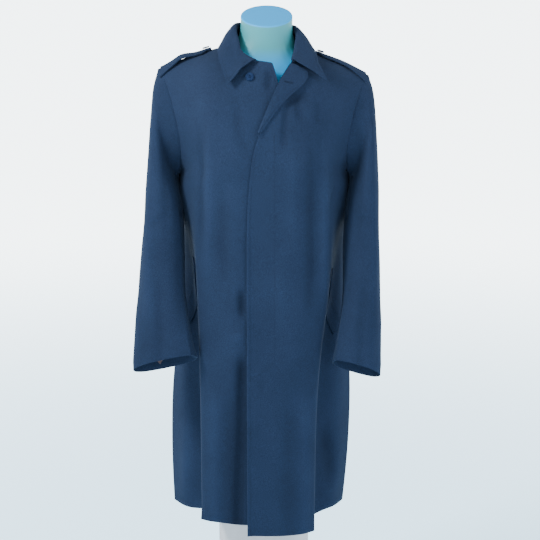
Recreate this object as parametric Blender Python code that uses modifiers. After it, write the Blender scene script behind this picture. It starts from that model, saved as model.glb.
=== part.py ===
"""Knee-length fly-front overcoat on a limbless dress form and a plain round pedestal.

The coat's front faces -Y and the wearer's left is +X. Metres, +Z up, floor at z = 0.
The panels are lofts through sections: tables below give one row for each level.
"""
import math
from collections import namedtuple

import bmesh
import bpy
from mathutils import Vector
from mathutils.bvhtree import BVHTree

# ---------------------------------------------------------------- driving sizes
WALL = 0.0020              # outer cloth, thickness
LINING_WALL = 0.0010       # sleeve lining
COLLAR_WALL = 0.0024       # collar, two layers of cloth
SEAM_GAP = 0.0003          # between neighbouring pieces
ARMHOLE_GAP = 0.0013       # between a sleeve head and the body, where the wall turns
FLY_STEP = 0.0031          # how far the under front lies behind the over front
ARMPIT_Z = 1.200           # height of the underarm point
EDGE_OVER = -0.036         # x of the over front's edge, below the turned corner
EDGE_UNDER = 0.045         # x of the under front's edge
FRONT_COLUMNS = 20
BACK_COLUMNS = 24
LOWER_ROWS = 11
UPPER_ROWS = 9
SLEEVE_ROWS = 12
COLLAR_ROWS = 24
FOOT_LIFT = 0.0009         # foot of the collar above the neck edges
FORM_COLUMNS = 28
FORM_ROWS = 18
BUTTON_R = 0.0095
BUTTON_H = 0.0032
BUTTON_LIFT = 0.0006
WELT_LENGTH = 0.180
WELT_WIDTH = 0.036
WELT_LIFT = 0.0013
WELT_ROWS = 16
WELT_COLUMNS = 5
WELT_THICK = 0.0022
EPAULETTE_WIDTH = 0.048
EPAULETTE_THICK = 0.0030
EPAULETTE_Y = 0.012        # its middle line, behind the shoulder seam's middle
EPAULETTE_TAPER = 0.86     # width by the collar over width at the sleeve
EPAULETTE_TIP = 0.55       # width of the last row, for the cut corners
EPAULETTE_ROWS = 14
EPAULETTE_COLUMNS = 4
CORNER_ROWS = 12           # turned-back corner of the over front
CORNER_COLUMNS = 7
CORNER_SWELL = 0.0020
CORNER_SETBACK = 0.0010    # from the front's edge to the start of the turned piece
CORNER_RISE = 0.0018
SMALL_BUTTON_R = 0.0080    # button of an epaulette
SMALL_BUTTON_X = 0.1290
BUTTON_X = -0.0290         # neck button on the under front
BUTTON_Z = 1.4350
NECK_HALF_WIDTH = 0.059
PEDESTAL_R = 0.108
PEDESTAL_BASE_R = 0.160
PEDESTAL_BASE_H = 0.018
PEDESTAL_TOP_Z = 0.8237

# ---------------------------------------------------------------- section tables
# Levels of the body from the hem to the underarm, one table for each side of the wearer.
# In plan a front runs from its edge to a ridge, turns back into a valley and goes out to
# the side seam; the depth of the centre front and the centre back are given too.
Level = namedtuple("Level", "z front ridge_x ridge_y valley_x valley_y side_x side_y back")
RIGHT_LEVELS = (
    Level(0.400, -0.168, 0.146, -0.128, 0.128, -0.052, 0.218, 0.030, 0.138),
    Level(0.520, -0.166, 0.146, -0.128, 0.130, -0.052, 0.222, 0.032, 0.136),
    Level(0.680, -0.162, 0.146, -0.124, 0.132, -0.046, 0.219, 0.038, 0.132),
    Level(0.800, -0.158, 0.147, -0.118, 0.138, -0.030, 0.208, 0.048, 0.130),
    Level(0.920, -0.155, 0.149, -0.108, 0.150, -0.016, 0.199, 0.054, 0.128),
    Level(1.020, -0.153, 0.151, -0.102, 0.162, -0.018, 0.194, 0.054, 0.126),
    Level(1.120, -0.152, 0.151, -0.099, 0.172, -0.034, 0.192, 0.050, 0.127),
    Level(ARMPIT_Z, -0.152, 0.150, -0.104, 0.181, -0.046, 0.194, 0.034, 0.130),
)
LEFT_LEVELS = (
    Level(0.400, -0.168, 0.126, -0.130, 0.112, -0.052, 0.192, 0.030, 0.138),
    Level(0.520, -0.166, 0.125, -0.130, 0.113, -0.052, 0.203, 0.032, 0.136),
    Level(0.680, -0.162, 0.125, -0.128, 0.114, -0.046, 0.208, 0.038, 0.132),
    Level(0.800, -0.158, 0.131, -0.122, 0.126, -0.030, 0.203, 0.048, 0.130),
    Level(0.920, -0.155, 0.146, -0.110, 0.148, -0.016, 0.197, 0.054, 0.128),
    Level(1.020, -0.153, 0.152, -0.102, 0.163, -0.018, 0.195, 0.054, 0.126),
    Level(1.120, -0.152, 0.153, -0.099, 0.174, -0.034, 0.194, 0.050, 0.127),
    Level(ARMPIT_Z, -0.152, 0.152, -0.104, 0.184, -0.046, 0.197, 0.034, 0.130),
)

# Rows of each front above the underarm: inner end on the front edge or neckline,
# a middle point, and the outer end on the armhole.
Row = namedtuple("Row", "inner middle outer")
RIGHT_FRONT_ROWS = (
    Row((0.045, -0.148, 1.230), (-0.105, -0.139, 1.228), (-0.187, -0.020, 1.222)),
    Row((0.044, -0.146, 1.290), (-0.105, -0.136, 1.282), (-0.184, -0.052, 1.266)),
    Row((0.041, -0.138, 1.360), (-0.107, -0.128, 1.345), (-0.193, -0.056, 1.330)),
    Row((0.0335, -0.119, 1.431), (-0.112, -0.106, 1.410), (-0.209, -0.040, 1.392)),
    Row((0.0150, -0.103, 1.466), (-0.122, -0.074, 1.445), (-0.222, -0.018, 1.424)),
    Row((-0.050, -0.078, 1.471), (-0.137, -0.034, 1.468), (-0.231, 0.004, 1.438)),
    Row((-0.0835, 0.012, 1.4958), (-0.159, 0.016, 1.4759), (-0.240, 0.020, 1.444)),
)
LEFT_FRONT_ROWS = (
    Row((-0.035, -0.152, 1.230), (0.110, -0.139, 1.228), (0.190, -0.020, 1.222)),
    Row((-0.031, -0.150, 1.290), (0.110, -0.136, 1.280), (0.187, -0.052, 1.266)),
    Row((0.000, -0.144, 1.352), (0.115, -0.128, 1.340), (0.196, -0.056, 1.325)),
    Row((0.030, -0.128, 1.420), (0.125, -0.106, 1.402), (0.211, -0.040, 1.382)),
    Row((0.058, -0.096, 1.463), (0.135, -0.074, 1.436), (0.224, -0.018, 1.412)),
    Row((0.076, -0.052, 1.475), (0.146, -0.034, 1.458), (0.233, 0.004, 1.425)),
    Row((0.0835, 0.012, 1.4902), (0.159, 0.016, 1.4661), (0.240, 0.020, 1.430)),
)
# Rows of the back above the underarm, half of it: armhole, blade, neck, nape and centre.
BackRow = namedtuple("BackRow", "outer blade neck nape centre")
BACK_ROWS = (
    BackRow((0.190, 0.073, 1.222), (0.135, 0.116, 1.228), (0.070, 0.130, 1.230),
            (0.035, 0.132, 1.230), (0.0, 0.132, 1.230)),
    BackRow((0.189, 0.094, 1.266), (0.135, 0.121, 1.282), (0.070, 0.132, 1.290),
            (0.035, 0.133, 1.290), (0.0, 0.133, 1.290)),
    BackRow((0.197, 0.096, 1.330), (0.138, 0.120, 1.352), (0.072, 0.129, 1.360),
            (0.036, 0.130, 1.362), (0.0, 0.129, 1.362)),
    BackRow((0.212, 0.084, 1.386), (0.143, 0.105, 1.412), (0.076, 0.111, 1.424),
            (0.042, 0.115, 1.426), (0.0, 0.116, 1.428)),
    BackRow((0.226, 0.054, 1.418), (0.150, 0.069, 1.448), (0.080, 0.074, 1.464),
            (0.052, 0.092, 1.462), (0.0, 0.100, 1.460)),
    BackRow((0.234, 0.036, 1.430), (0.154, 0.043, 1.461), (0.082, 0.044, 1.480),
            (0.058, 0.076, 1.476), (0.0, 0.092, 1.474)),
    BackRow((0.2385, 0.020, 1.437), (0.1575, 0.016, 1.471), (0.082, 0.012, 1.493),
            (0.062, 0.060, 1.488), (0.0, 0.085, 1.484)),
)
RIGHT_SHOULDER = (-0.0015, 0.007)   # wearer's right shoulder: x and z from the mean
LEFT_SHOULDER = (0.0015, -0.007)

# Soft folds hung into a panel: how far round it they lie (0 is the front edge or the
# centre back, 1 the side seam), the height where they die out, depth at the hem and
# half width as a share of the panel.
Fold = namedtuple("Fold", "panel place top depth width")
FOLDS = (
    Fold("right", 0.150, 0.900, 0.009, 0.060),
    Fold("right", 0.360, 0.700, 0.005, 0.080),
    Fold("left", 0.480, 0.800, 0.006, 0.090),
    Fold("back", -0.700, 1.060, 0.026, 0.090),
    Fold("back", -0.280, 0.900, 0.012, 0.110),
    Fold("back", 0.240, 0.960, 0.015, 0.100),
    Fold("back", 0.720, 1.100, 0.028, 0.085),
)
# Height of the hem above the lowest level, along each panel (place, rise).
HEM_RISE = {
    "right": ((0.0, 0.015), (0.45, 0.018), (0.60, 0.016), (0.80, 0.004), (1.0, 0.002)),
    "left": ((0.0, -0.008), (0.45, -0.010), (0.66, -0.008), (0.80, 0.002), (1.0, 0.002)),
    "back": ((-1.0, 0.002), (-0.5, 0.005), (0.0, 0.004), (0.5, 0.006), (1.0, 0.002)),
}

# Sleeve sections from the sleeve head to the cuff. Outer and inner side of the tube in
# x and z, depth of its middle, half depth, squareness and how far the front lifts.
Cuff = namedtuple("Cuff", "outer_x outer_z inner_x inner_z mid_y half_y square lift")
RIGHT_SLEEVE = (
    Cuff(0.2480, 1.424, 0.199, 1.194, 0.024, 0.080, 2.2, 0.00),
    Cuff(0.2520, 1.380, 0.193, 1.172, 0.000, 0.067, 2.3, 0.02),
    Cuff(0.2570, 1.300, 0.1865, 1.135, -0.030, 0.058, 2.4, 0.05),
    Cuff(0.2640, 1.200, 0.180, 1.090, -0.043, 0.056, 2.4, 0.08),
    Cuff(0.2730, 1.090, 0.178, 1.020, -0.054, 0.055, 2.4, 0.14),
    Cuff(0.2830, 0.970, 0.176, 0.940, -0.074, 0.053, 2.4, 0.26),
    Cuff(0.2900, 0.860, 0.164, 0.872, -0.102, 0.047, 2.4, 0.40),
    Cuff(0.2950, 0.775, 0.148, 0.807, -0.124, 0.042, 2.6, 0.52),
)
LEFT_SLEEVE = (
    Cuff(0.2490, 1.410, 0.201, 1.194, 0.024, 0.080, 2.2, 0.00),
    Cuff(0.2530, 1.366, 0.1965, 1.172, 0.000, 0.067, 2.3, 0.02),
    Cuff(0.2570, 1.290, 0.1895, 1.135, -0.030, 0.058, 2.4, 0.05),
    Cuff(0.2610, 1.190, 0.182, 1.090, -0.043, 0.056, 2.4, 0.08),
    Cuff(0.2640, 1.080, 0.180, 1.020, -0.054, 0.055, 2.4, 0.14),
    Cuff(0.2660, 0.965, 0.180, 0.935, -0.074, 0.053, 2.4, 0.26),
    Cuff(0.2665, 0.855, 0.169, 0.865, -0.101, 0.047, 2.4, 0.40),
    Cuff(0.2665, 0.762, 0.154, 0.795, -0.120, 0.042, 2.4, 0.52),
)
UNDER_SLEEVE_ROWS = (1, 5)   # armhole rows that the under sleeve takes in front and behind

# Stations of the collar from the wearer's right front round to the left: foot of the
# stand, top of the roll, and free edge of the fall.
Station = namedtuple("Station", "foot roll edge")
COLLAR = (
    Station((-0.016, -0.1000, 1.4660), (-0.020, -0.1030, 1.4760), (-0.0720, -0.128, 1.4190)),
    Station((-0.034, -0.0920, 1.4740), (-0.036, -0.0880, 1.4850), (-0.0850, -0.112, 1.4400)),
    Station((-0.058, -0.0600, 1.4800), (-0.056, -0.0520, 1.5160), (-0.0990, -0.072, 1.4800)),
    Station((-0.074, -0.0100, 1.4960), (-0.063, -0.0060, 1.5480), (-0.1010, -0.010, 1.5020)),
    Station((-0.058, 0.0500, 1.4980), (-0.050, 0.0500, 1.5520), (-0.0750, 0.078, 1.5020)),
    Station((0.002, 0.0790, 1.4900), (0.004, 0.0740, 1.5500), (0.0030, 0.112, 1.4950)),
    Station((0.064, 0.0480, 1.4960), (0.060, 0.0500, 1.5480), (0.0850, 0.078, 1.4980)),
    Station((0.079, -0.0100, 1.4930), (0.0755, -0.0080, 1.5400), (0.1100, -0.012, 1.4960)),
    Station((0.071, -0.0560, 1.4800), (0.070, -0.0540, 1.5060), (0.1200, -0.070, 1.4660)),
    Station((0.064, -0.0830, 1.4710), (0.066, -0.0860, 1.4840), (0.1330, -0.092, 1.4450)),
    Station((0.060, -0.0960, 1.4680), (0.064, -0.1000, 1.4780), (0.1400, -0.104, 1.4280)),
)
# Turned-back corner of the over front: on the turn line, and on the free edge.
Turn = namedtuple("Turn", "line edge")
TURNED_CORNER = (
    Turn((0.0570, 1.4630), (0.0860, 1.4500)),
    Turn((0.0505, 1.4520), (0.0985, 1.4385)),
    Turn((0.0440, 1.4420), (0.0890, 1.4200)),
    Turn((0.0360, 1.4290), (0.0700, 1.4050)),
    Turn((0.0260, 1.4080), (0.0420, 1.3850)),
    Turn((0.0140, 1.3800), (0.0190, 1.3640)),
    Turn((0.0040, 1.3580), (0.0055, 1.3490)),
)
# Epaulette: how far out its stations lie, and how high it stands over the cloth there.
Strap = namedtuple("Strap", "x right_lift left_lift")
EPAULETTE = (
    Strap(0.2330, 0.0042, 0.0042),
    Strap(0.2200, 0.0052, 0.0048),
    Strap(0.2050, 0.0078, 0.0054),
    Strap(0.1880, 0.0122, 0.0060),
    Strap(0.1700, 0.0086, 0.0056),
    Strap(0.1560, 0.0052, 0.0050),
    Strap(0.1380, 0.0044, 0.0044),
    Strap(0.1180, 0.0046, 0.0046),
)
# Button, half of its section: radius and height as shares of the whole.
BUTTON = ((0.0, 0.62), (0.70, 0.62), (0.84, 1.0), (0.97, 0.86), (1.0, 0.5), (0.90, 0.0), (0.0, 0.0))
# Dress form: level, half width, front, back, squareness and forward slant of the level.
FormLevel = namedtuple("FormLevel", "z mid_x half front back square slant")
FORM = (
    FormLevel(0.824, 0.0, 0.116, -0.090, 0.092, 2.2, 0.0),
    FormLevel(0.940, 0.0, 0.134, -0.094, 0.096, 2.2, 0.0),
    FormLevel(1.080, 0.0, 0.142, -0.100, 0.088, 2.2, 0.0),
    FormLevel(1.220, 0.0, 0.166, -0.124, 0.104, 2.3, 0.0),
    FormLevel(1.320, 0.0, 0.176, -0.118, 0.104, 2.4, 0.0),
    FormLevel(1.390, 0.0, 0.170, -0.096, 0.088, 2.4, 0.0),
    FormLevel(1.428, 0.001, 0.160, -0.076, 0.072, 2.2, 0.0),
    FormLevel(1.452, 0.002, 0.136, -0.062, 0.066, 2.0, 0.0),
    FormLevel(1.472, 0.0005, 0.1050, -0.056, 0.066, 2.0, 0.0),
    FormLevel(1.492, 0.004, NECK_HALF_WIDTH + 0.002, -0.053, 0.064, 2.0, 0.08),
    FormLevel(1.530, 0.0075, NECK_HALF_WIDTH - 0.001, -0.052, 0.063, 2.0, 0.22),
    FormLevel(1.564, 0.0075, NECK_HALF_WIDTH, -0.054, 0.064, 2.0, 0.38),
)
PARTS = "overcoat_on_form"
COLOURS = {
    "wool": (0.028, 0.060, 0.130, 0.85),
    "under": (0.018, 0.038, 0.085, 0.88),
    "button": (0.030, 0.050, 0.085, 0.35),
    "form": (0.235, 0.450, 0.480, 0.45),
    "pedestal": (0.620, 0.600, 0.570, 0.70),
}


# ---------------------------------------------------------------- helpers
def clear_scene():
    """Empty the file of its objects."""
    for item in list(bpy.data.objects):
        bpy.data.objects.remove(item, do_unlink=True)


def material(name, kind):
    """A Principled material: colour and roughness of one finish."""
    red, green, blue, rough = COLOURS[kind]
    made = bpy.data.materials.new(name)
    made.use_nodes = True
    shader = made.node_tree.nodes["Principled BSDF"]
    shader.inputs["Base Color"].default_value = (red, green, blue, 1.0)
    shader.inputs["Roughness"].default_value = rough
    shader.inputs["Metallic"].default_value = 0.0
    return made


def lerp(start, end, share):
    """Between two numbers or vectors."""
    return start + (end - start) * share


def table_value(pairs, place):
    """Read a short table of (place, value) rows with straight lines between them."""
    for (here, low), (there, high) in zip(pairs, pairs[1:]):
        if place <= there:
            return lerp(low, high, (place - here) / (there - here))
    return pairs[-1][1]


def smooth_point(points, knots, where):
    """Point at a knot value on the smooth curve through all the points."""
    last = len(points) - 1
    index = max(i for i in range(last) if knots[i] <= where or i == 0)

    def slope(i):
        low, high = max(i - 1, 0), min(i + 1, last)
        return (points[high] - points[low]) / (knots[high] - knots[low])

    span = knots[index + 1] - knots[index]
    t = (where - knots[index]) / span
    start, end = points[index], points[index + 1]
    blend = 3 * t * t - 2 * t ** 3
    bend_in = (t ** 3 - 2 * t * t + t) * span
    bend_out = (t ** 3 - t * t) * span
    return start * (1 - blend) + end * blend + slope(index) * bend_in + slope(index + 1) * bend_out


def smooth_line(points, count):
    """The smooth curve through the points, read at count + 1 even knots."""
    points = [Vector(point) for point in points]
    knots = [0.0]
    for here, there in zip(points, points[1:]):
        knots.append(knots[-1] + (there - here).length)
    return [smooth_point(points, knots, knots[-1] * i / count) for i in range(count + 1)]


def even_line(points, count):
    """A dense polyline read at count + 1 points, evenly along its length."""
    lengths = [0.0]
    for here, there in zip(points, points[1:]):
        lengths.append(lengths[-1] + (there - here).length)
    line, index = [], 0
    for i in range(count + 1):
        goal = lengths[-1] * i / count
        while index < len(points) - 2 and lengths[index + 1] < goal:
            index += 1
        share = (goal - lengths[index]) / (lengths[index + 1] - lengths[index])
        line.append(lerp(points[index], points[index + 1], share))
    return line


def loft(rows, knots, levels):
    """Rows of equal length turned into smooth rows at the given knot levels."""
    columns = list(zip(*rows))
    made = [[smooth_point(column, knots, level) for column in columns] for level in levels]
    return made


def power(value, exponent):
    """A signed power, for rounded boxes."""
    return math.copysign(abs(value) ** exponent, value)


def new_object(name, mesh, kind):
    """Put a mesh in the coat's collection with its own material."""
    made = bpy.data.objects.new(name, mesh)
    bpy.data.collections[PARTS].objects.link(made)
    mesh.materials.append(material(name, kind))
    return made


def grid_faces(height, width, closed=False):
    """Quads of a grid of points; a closed grid runs round from its last column."""
    faces = []
    for r in range(height - 1):
        for c in range(width if closed else width - 1):
            step = (c + 1) % width
            faces.append((r * width + c, r * width + step, (r + 1) * width + step, (r + 1) * width + c))
    return faces


def sheet_object(name, rows, kind, wall, flip=False, closed=False):
    """A small cloth piece: the open surface of a grid, given its wall by Solidify."""
    mesh = bpy.data.meshes.new(name)
    faces = grid_faces(len(rows), len(rows[0]), closed)
    faces = [face[::-1] for face in faces] if flip else faces
    mesh.from_pydata([tuple(point) for row in rows for point in row], [], faces)
    mesh.shade_smooth()
    made = new_object(name, mesh, kind)
    thick = made.modifiers.new("wall", "SOLIDIFY")
    thick.thickness = wall
    thick.offset = -1.0
    thick.use_even_offset = True
    thick.thickness_clamp = 1.0
    return made


def point_key(point):
    """A point's place to a hundredth of a millimetre, so that seams find each other."""
    return tuple(round(value * 100000) for value in point)


def shared_normals(grids):
    """Outward normals at every point of several grids, the same on both sides of a seam.

    Each grid comes with +1 or -1, the way its quads already face."""
    total = {}
    for rows, facing, closed in grids:
        flat = [point for row in rows for point in row]
        for a, b, c, d in grid_faces(len(rows), len(rows[0]), closed):
            turn = (flat[c] - flat[a]).cross(flat[d] - flat[b]) * facing
            for corner in (a, b, c, d):
                key = point_key(flat[corner])
                total[key] = total.get(key, Vector()) + turn
    return total


def wall_object(name, rows, normals, kind, wall):
    """A coat panel: a wall between a grid and the same grid moved in along its normals."""
    height, width = len(rows), len(rows[0])
    outer = [point for row in rows for point in row]
    inner = [point - normal * wall for row, turns in zip(rows, normals)
             for point, normal in zip(row, turns)]
    count = height * width
    faces = grid_faces(height, width)
    a, b, c, d = faces[len(faces) // 2]
    facing = (outer[c] - outer[a]).cross(outer[d] - outer[b]).dot(outer[a] - inner[a])
    faces = faces if facing > 0 else [face[::-1] for face in faces]
    back = [tuple(count + i for i in face[::-1]) for face in faces]
    edges = [(r * width, (r + 1) * width) for r in range(height - 1)]
    edges += [((r + 1) * width - 1, (r + 2) * width - 1) for r in range(height - 1)]
    edges += [(c, c + 1) for c in range(width - 1)]
    edges += [((height - 1) * width + c, (height - 1) * width + c + 1) for c in range(width - 1)]
    used = {(face[i], face[(i + 1) % 4]) for face in faces for i in range(4)}
    rim = []
    for low, high in edges:
        low, high = (low, high) if (low, high) in used else (high, low)
        rim.append((high, low, count + low, count + high))
    mesh = bpy.data.meshes.new(name)
    mesh.from_pydata([tuple(point) for point in outer + inner], [], faces + back + rim)
    mesh.shade_smooth()
    return new_object(name, mesh, kind)


def surface_tree(*grids):
    """A search tree over the outer faces of several grids of points."""
    points, faces = [], []
    for rows in grids:
        base, width = len(points), len(rows[0])
        points += [tuple(point) for row in rows for point in row]
        for r in range(len(rows) - 1):
            for c in range(width - 1):
                low = base + r * width + c
                faces.append((low, low + 1, low + width + 1, low + width))
    return BVHTree.FromPolygons(points, faces)


def on_front(tree, x, z, lift):
    """Point in front of the coat's front at x and z, lifted off the cloth."""
    hit, normal, _, _ = tree.ray_cast(Vector((x, -1.0, z)), Vector((0.0, 1.0, 0.0)))
    outward = normal if normal.y < 0 else -normal
    return hit + outward * lift


def clear_of(tree, point, lift, inside):
    """Move a point out until it stands at least lift off the cloth, away from inside."""
    point = Vector(point)
    near, normal, _, _ = tree.find_nearest(point)
    outward = normal if normal.dot(near - inside) > 0 else -normal
    height = (point - near).dot(outward)
    return point + outward * max(lift - height, 0.0)


# ---------------------------------------------------------------- body panels
def ring_front(level, side, edge_x):
    """Plan of one front at a level, from its edge to the side seam."""
    middle = level.ridge_x * 0.45
    corner = level.ridge_x - 0.012
    plan = (
        (edge_x * side, level.front),
        (middle, lerp(level.front, level.ridge_y, 0.10)),
        (corner, lerp(level.front, level.ridge_y, 0.70)),
        (level.ridge_x, level.ridge_y),
        (lerp(level.ridge_x, level.valley_x, 0.55), lerp(level.ridge_y, level.valley_y, 0.5)),
        (level.valley_x + 0.004, level.valley_y),
        (lerp(level.valley_x, level.side_x, 0.64), lerp(level.valley_y, level.side_y, 0.40)),
        (level.side_x, level.side_y),
    )
    dense = smooth_line([Vector((side * x, y, level.z)) for x, y in plan], 160)
    return even_line(dense, FRONT_COLUMNS)


def ring_back(right, left):
    """Plan of the back at a level, from the wearer's right seam to the left."""
    dense = []
    for i in range(321):
        turn = lerp(-math.pi / 2, math.pi / 2, i / 320)
        side = right if turn < 0 else left
        x = side.side_x * power(math.sin(turn), 2.0 / 2.6)
        y = side.side_y + (side.back - side.side_y) * max(math.cos(turn), 0.0) ** (2.0 / 2.6)
        dense.append(Vector((x, y, side.z)))
    return even_line(dense, BACK_COLUMNS)


def shape_lower(rows, panel):
    """Hang the folds and the uneven hem into the rows below the underarm."""
    hem_z, top_z = RIGHT_LEVELS[0].z, ARMPIT_Z
    count = len(rows[0]) - 1
    shaped = []
    for row in rows:
        new_row = []
        for c, point in enumerate(row):
            place = c / count if panel != "back" else 2.0 * c / count - 1.0
            before, after = row[max(c - 1, 0)], row[min(c + 1, count)]
            along = (after - before).normalized()
            inward = Vector((-along.y, along.x, 0.0))
            centre = Vector((0.0, 0.0, point.z))
            if inward.dot(centre - point) < 0:
                inward = -inward
            push = 0.0
            for fold in FOLDS:
                if fold.panel != panel:
                    continue
                share = min(max((fold.top - point.z) / (fold.top - hem_z), 0.0), 1.0)
                swell = math.exp(-((place - fold.place) / fold.width) ** 2)
                push += fold.depth * share ** 0.8 * swell
            low = (top_z - point.z) / (top_z - hem_z)
            rise = table_value(HEM_RISE[panel], place) * low ** 3
            new_row.append(point + inward * push + Vector((0.0, 0.0, rise)))
        shaped.append(new_row)
    return shaped


def panel_rows(lower, upper, panel):
    """Smooth rows of a whole panel from its control rows below and above the underarm."""
    control = lower + upper
    knots = [row[0].z for row in lower]
    low_knots = list(knots)
    for before, after in zip(control[len(lower) - 1:], upper):
        steps = [(b - a).length for a, b in zip(before, after)]
        knots.append(knots[-1] + sum(steps) / len(steps))
    low_levels = [lerp(knots[0], ARMPIT_Z, i / LOWER_ROWS) for i in range(LOWER_ROWS + 1)]
    high_levels = [lerp(ARMPIT_Z, knots[-1], i / UPPER_ROWS) for i in range(1, UPPER_ROWS + 1)]
    below = shape_lower(loft(lower, low_knots, low_levels), panel)
    above = loft(control, knots, high_levels)
    return below + above


def front_rows(side):
    """All rows of one front: -1 is the wearer's right, which lies under, 1 the left."""
    under = side < 0
    edge = EDGE_UNDER if under else EDGE_OVER
    levels = RIGHT_LEVELS if under else LEFT_LEVELS
    lower = [ring_front(level, side, edge) for level in levels]
    table = RIGHT_FRONT_ROWS if under else LEFT_FRONT_ROWS
    upper = [even_line(smooth_line(row, 60), FRONT_COLUMNS) for row in table]
    return panel_rows(lower, upper, "right" if under else "left")


def back_rows():
    """All rows of the back."""
    lower = [ring_back(right, left) for right, left in zip(RIGHT_LEVELS, LEFT_LEVELS)]
    upper = []
    for number, row in enumerate(BACK_ROWS):
        share = number / (len(BACK_ROWS) - 1)
        right = [Vector((-p[0] + RIGHT_SHOULDER[0] * share, p[1], p[2] + RIGHT_SHOULDER[1] * share * w))
                 for p, w in zip(row[:4], (1.0, 0.7, 0.4, 0.2))]
        left = [Vector((p[0] + LEFT_SHOULDER[0] * share, p[1], p[2] + LEFT_SHOULDER[1] * share * w))
                for p, w in zip(row[:4], (1.0, 0.7, 0.4, 0.2))]
        line = smooth_line(right + [Vector(row.centre)] + left[::-1], 120)
        upper.append(even_line(line, BACK_COLUMNS))
    return panel_rows(lower, upper, "back")


def tuck_under(rows, tree):
    """Lay the under front behind the over front where the two overlap."""
    for row in rows:
        for c, point in enumerate(row):
            ramp = min(max((point.x + 0.080) / 0.040, 0.0), 1.0)
            depth = FLY_STEP * ramp * ramp * (3 - 2 * ramp)
            near, normal, _, _ = tree.find_nearest(point)
            outward = normal if normal.y < 0 else -normal
            height = (point - near).dot(outward)
            row[c] = point - outward * max(height + depth, 0.0) * min(ramp * 2, 1.0)


def share_shoulder(front, back, side):
    """Give a front the back's own points along the shoulder seam."""
    top = back[-1] if side < 0 else back[-1][::-1]
    neck = front[-1][0]
    count = min(range(len(top)), key=lambda i: (top[i] - neck).length)
    front[-1] = even_line(top[:count + 1][::-1], FRONT_COLUMNS)


# ---------------------------------------------------------------- pieces
def pull_column(rows, column, toward, distance):
    """Draw one edge column of a grid in from its seam, square to the seam."""
    edge = [row[column] for row in rows]
    last = len(rows) - 1
    for r, row in enumerate(rows):
        along = (edge[min(r + 1, last)] - edge[max(r - 1, 0)]).normalized()
        inward = row[toward] - row[column]
        inward -= along * inward.dot(along)
        row[column] = row[column] + inward.normalized() * distance


def pull_row(rows, index, toward, distance):
    """Draw one edge row of a grid in towards its neighbour."""
    rows[index] = [p + (q - p).normalized() * distance for p, q in zip(rows[index], rows[toward])]


def tube_ring(section, fractions, side):
    """One ring of a sleeve, from its outer side over the front to its inner side."""
    outer = Vector((side * section.outer_x, section.mid_y, section.outer_z))
    inner = Vector((side * section.inner_x, section.mid_y, section.inner_z))
    middle, reach = (outer + inner) / 2, (outer - inner) / 2
    exponent = 2.0 / section.square
    dense = []
    for i in range(241):
        turn = 2 * math.pi * i / 240
        y = -section.half_y * power(math.sin(turn), exponent)
        point = middle + reach * power(math.cos(turn), exponent) + Vector((0.0, y, 0.0))
        point.z += section.lift * (section.mid_y - point.y)
        dense.append(point)
    half = len(dense) // 2
    front, back = even_line(dense[:half + 1], 200), even_line(dense[half:], 200)
    ring = []
    for fraction in fractions:
        line, share = (front, fraction * 2) if fraction <= 0.5 else (back, fraction * 2 - 1)
        index = min(int(share * 200), 199)
        ring.append(lerp(line[index], line[index + 1], share * 200 - index))
    return ring


def armhole(front, back, back_column):
    """Points of one armhole, shoulder point first, down the front and up the back."""
    down = [row[-1] for row in front[LOWER_ROWS:]][::-1]
    up = [row[back_column] for row in back[LOWER_ROWS + 1:-1]]
    return down + up


def shares(points):
    """Share of the way along a run of points, for each of them."""
    lengths = [0.0]
    for here, there in zip(points, points[1:]):
        lengths.append(lengths[-1] + (there - here).length)
    return [length / lengths[-1] for length in lengths]


def sleeve_rows(loop, table, side):
    """Rings of a whole sleeve, hung from the armhole loop."""
    bottom = UPPER_ROWS
    front = shares(loop[:bottom + 1])
    back = shares(loop[bottom:] + [loop[0]])
    fractions = [0.5 * share for share in front] + [0.5 + 0.5 * share for share in back[1:-1]]
    rings = [tube_ring(section, fractions, side) for section in table]
    control = [loop] + rings
    knots = [0.0]
    for before, after in zip(control, control[1:]):
        steps = [(b - a).length for a, b in zip(before, after)]
        knots.append(knots[-1] + sum(steps) / len(steps))
    levels = [knots[-1] * (i / SLEEVE_ROWS) ** 1.15 for i in range(SLEEVE_ROWS + 1)]
    return loft(control, knots, levels)


def read_normals(rows, total):
    """Unit normals of a grid's points from the shared sums."""
    return [[total[point_key(point)].normalized() for point in row] for row in rows]


def seam_normals(front, back, front_turns, back_turns):
    """Make the walls of a front and the back lean the same way along the shoulder seam."""
    front_top, back_top = list(front_turns[-1]), list(back_turns[-1])
    for c, point in enumerate(front[-1]):
        near = min(range(len(back[-1])), key=lambda i: (back[-1][i] - point).length)
        front_turns[-1][c] = (front_top[c] + back_top[near]).normalized()
    reach = (front[-1][0] - front[-1][-1]).length
    for c, point in enumerate(back[-1]):
        if (point - front[-1][-1]).length <= reach + 0.002:
            near = min(range(len(front[-1])), key=lambda i: (front[-1][i] - point).length)
            back_turns[-1][c] = (back_top[c] + front_top[near]).normalized()


def share_side(front, back, column):
    """Give the back the front's own points along the side seam."""
    for r in range(LOWER_ROWS + 1):
        back[r][column] = front[r][-1].copy()


def build_sleeve(rows, turns, word):
    """Cut a sleeve's rings into its upper and its under piece."""
    front_cut, back_cut = UPPER_ROWS - UNDER_SLEEVE_ROWS[0], UPPER_ROWS + UNDER_SLEEVE_ROWS[1]
    for piece in ("upper", "under"):
        cut = []
        for grid in (rows, turns):
            if piece == "under":
                cut.append([list(ring[front_cut:back_cut + 1]) for ring in grid])
            else:
                cut.append([list(ring[back_cut:]) + list(ring[:front_cut + 1]) for ring in grid])
        pull_column(cut[0], 0, 1, SEAM_GAP * 1.4)
        pull_column(cut[0], -1, -2, SEAM_GAP * 1.4)
        wall_object("sleeve_%s_%s" % (word, piece), cut[0], cut[1], "wool", WALL)


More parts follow.
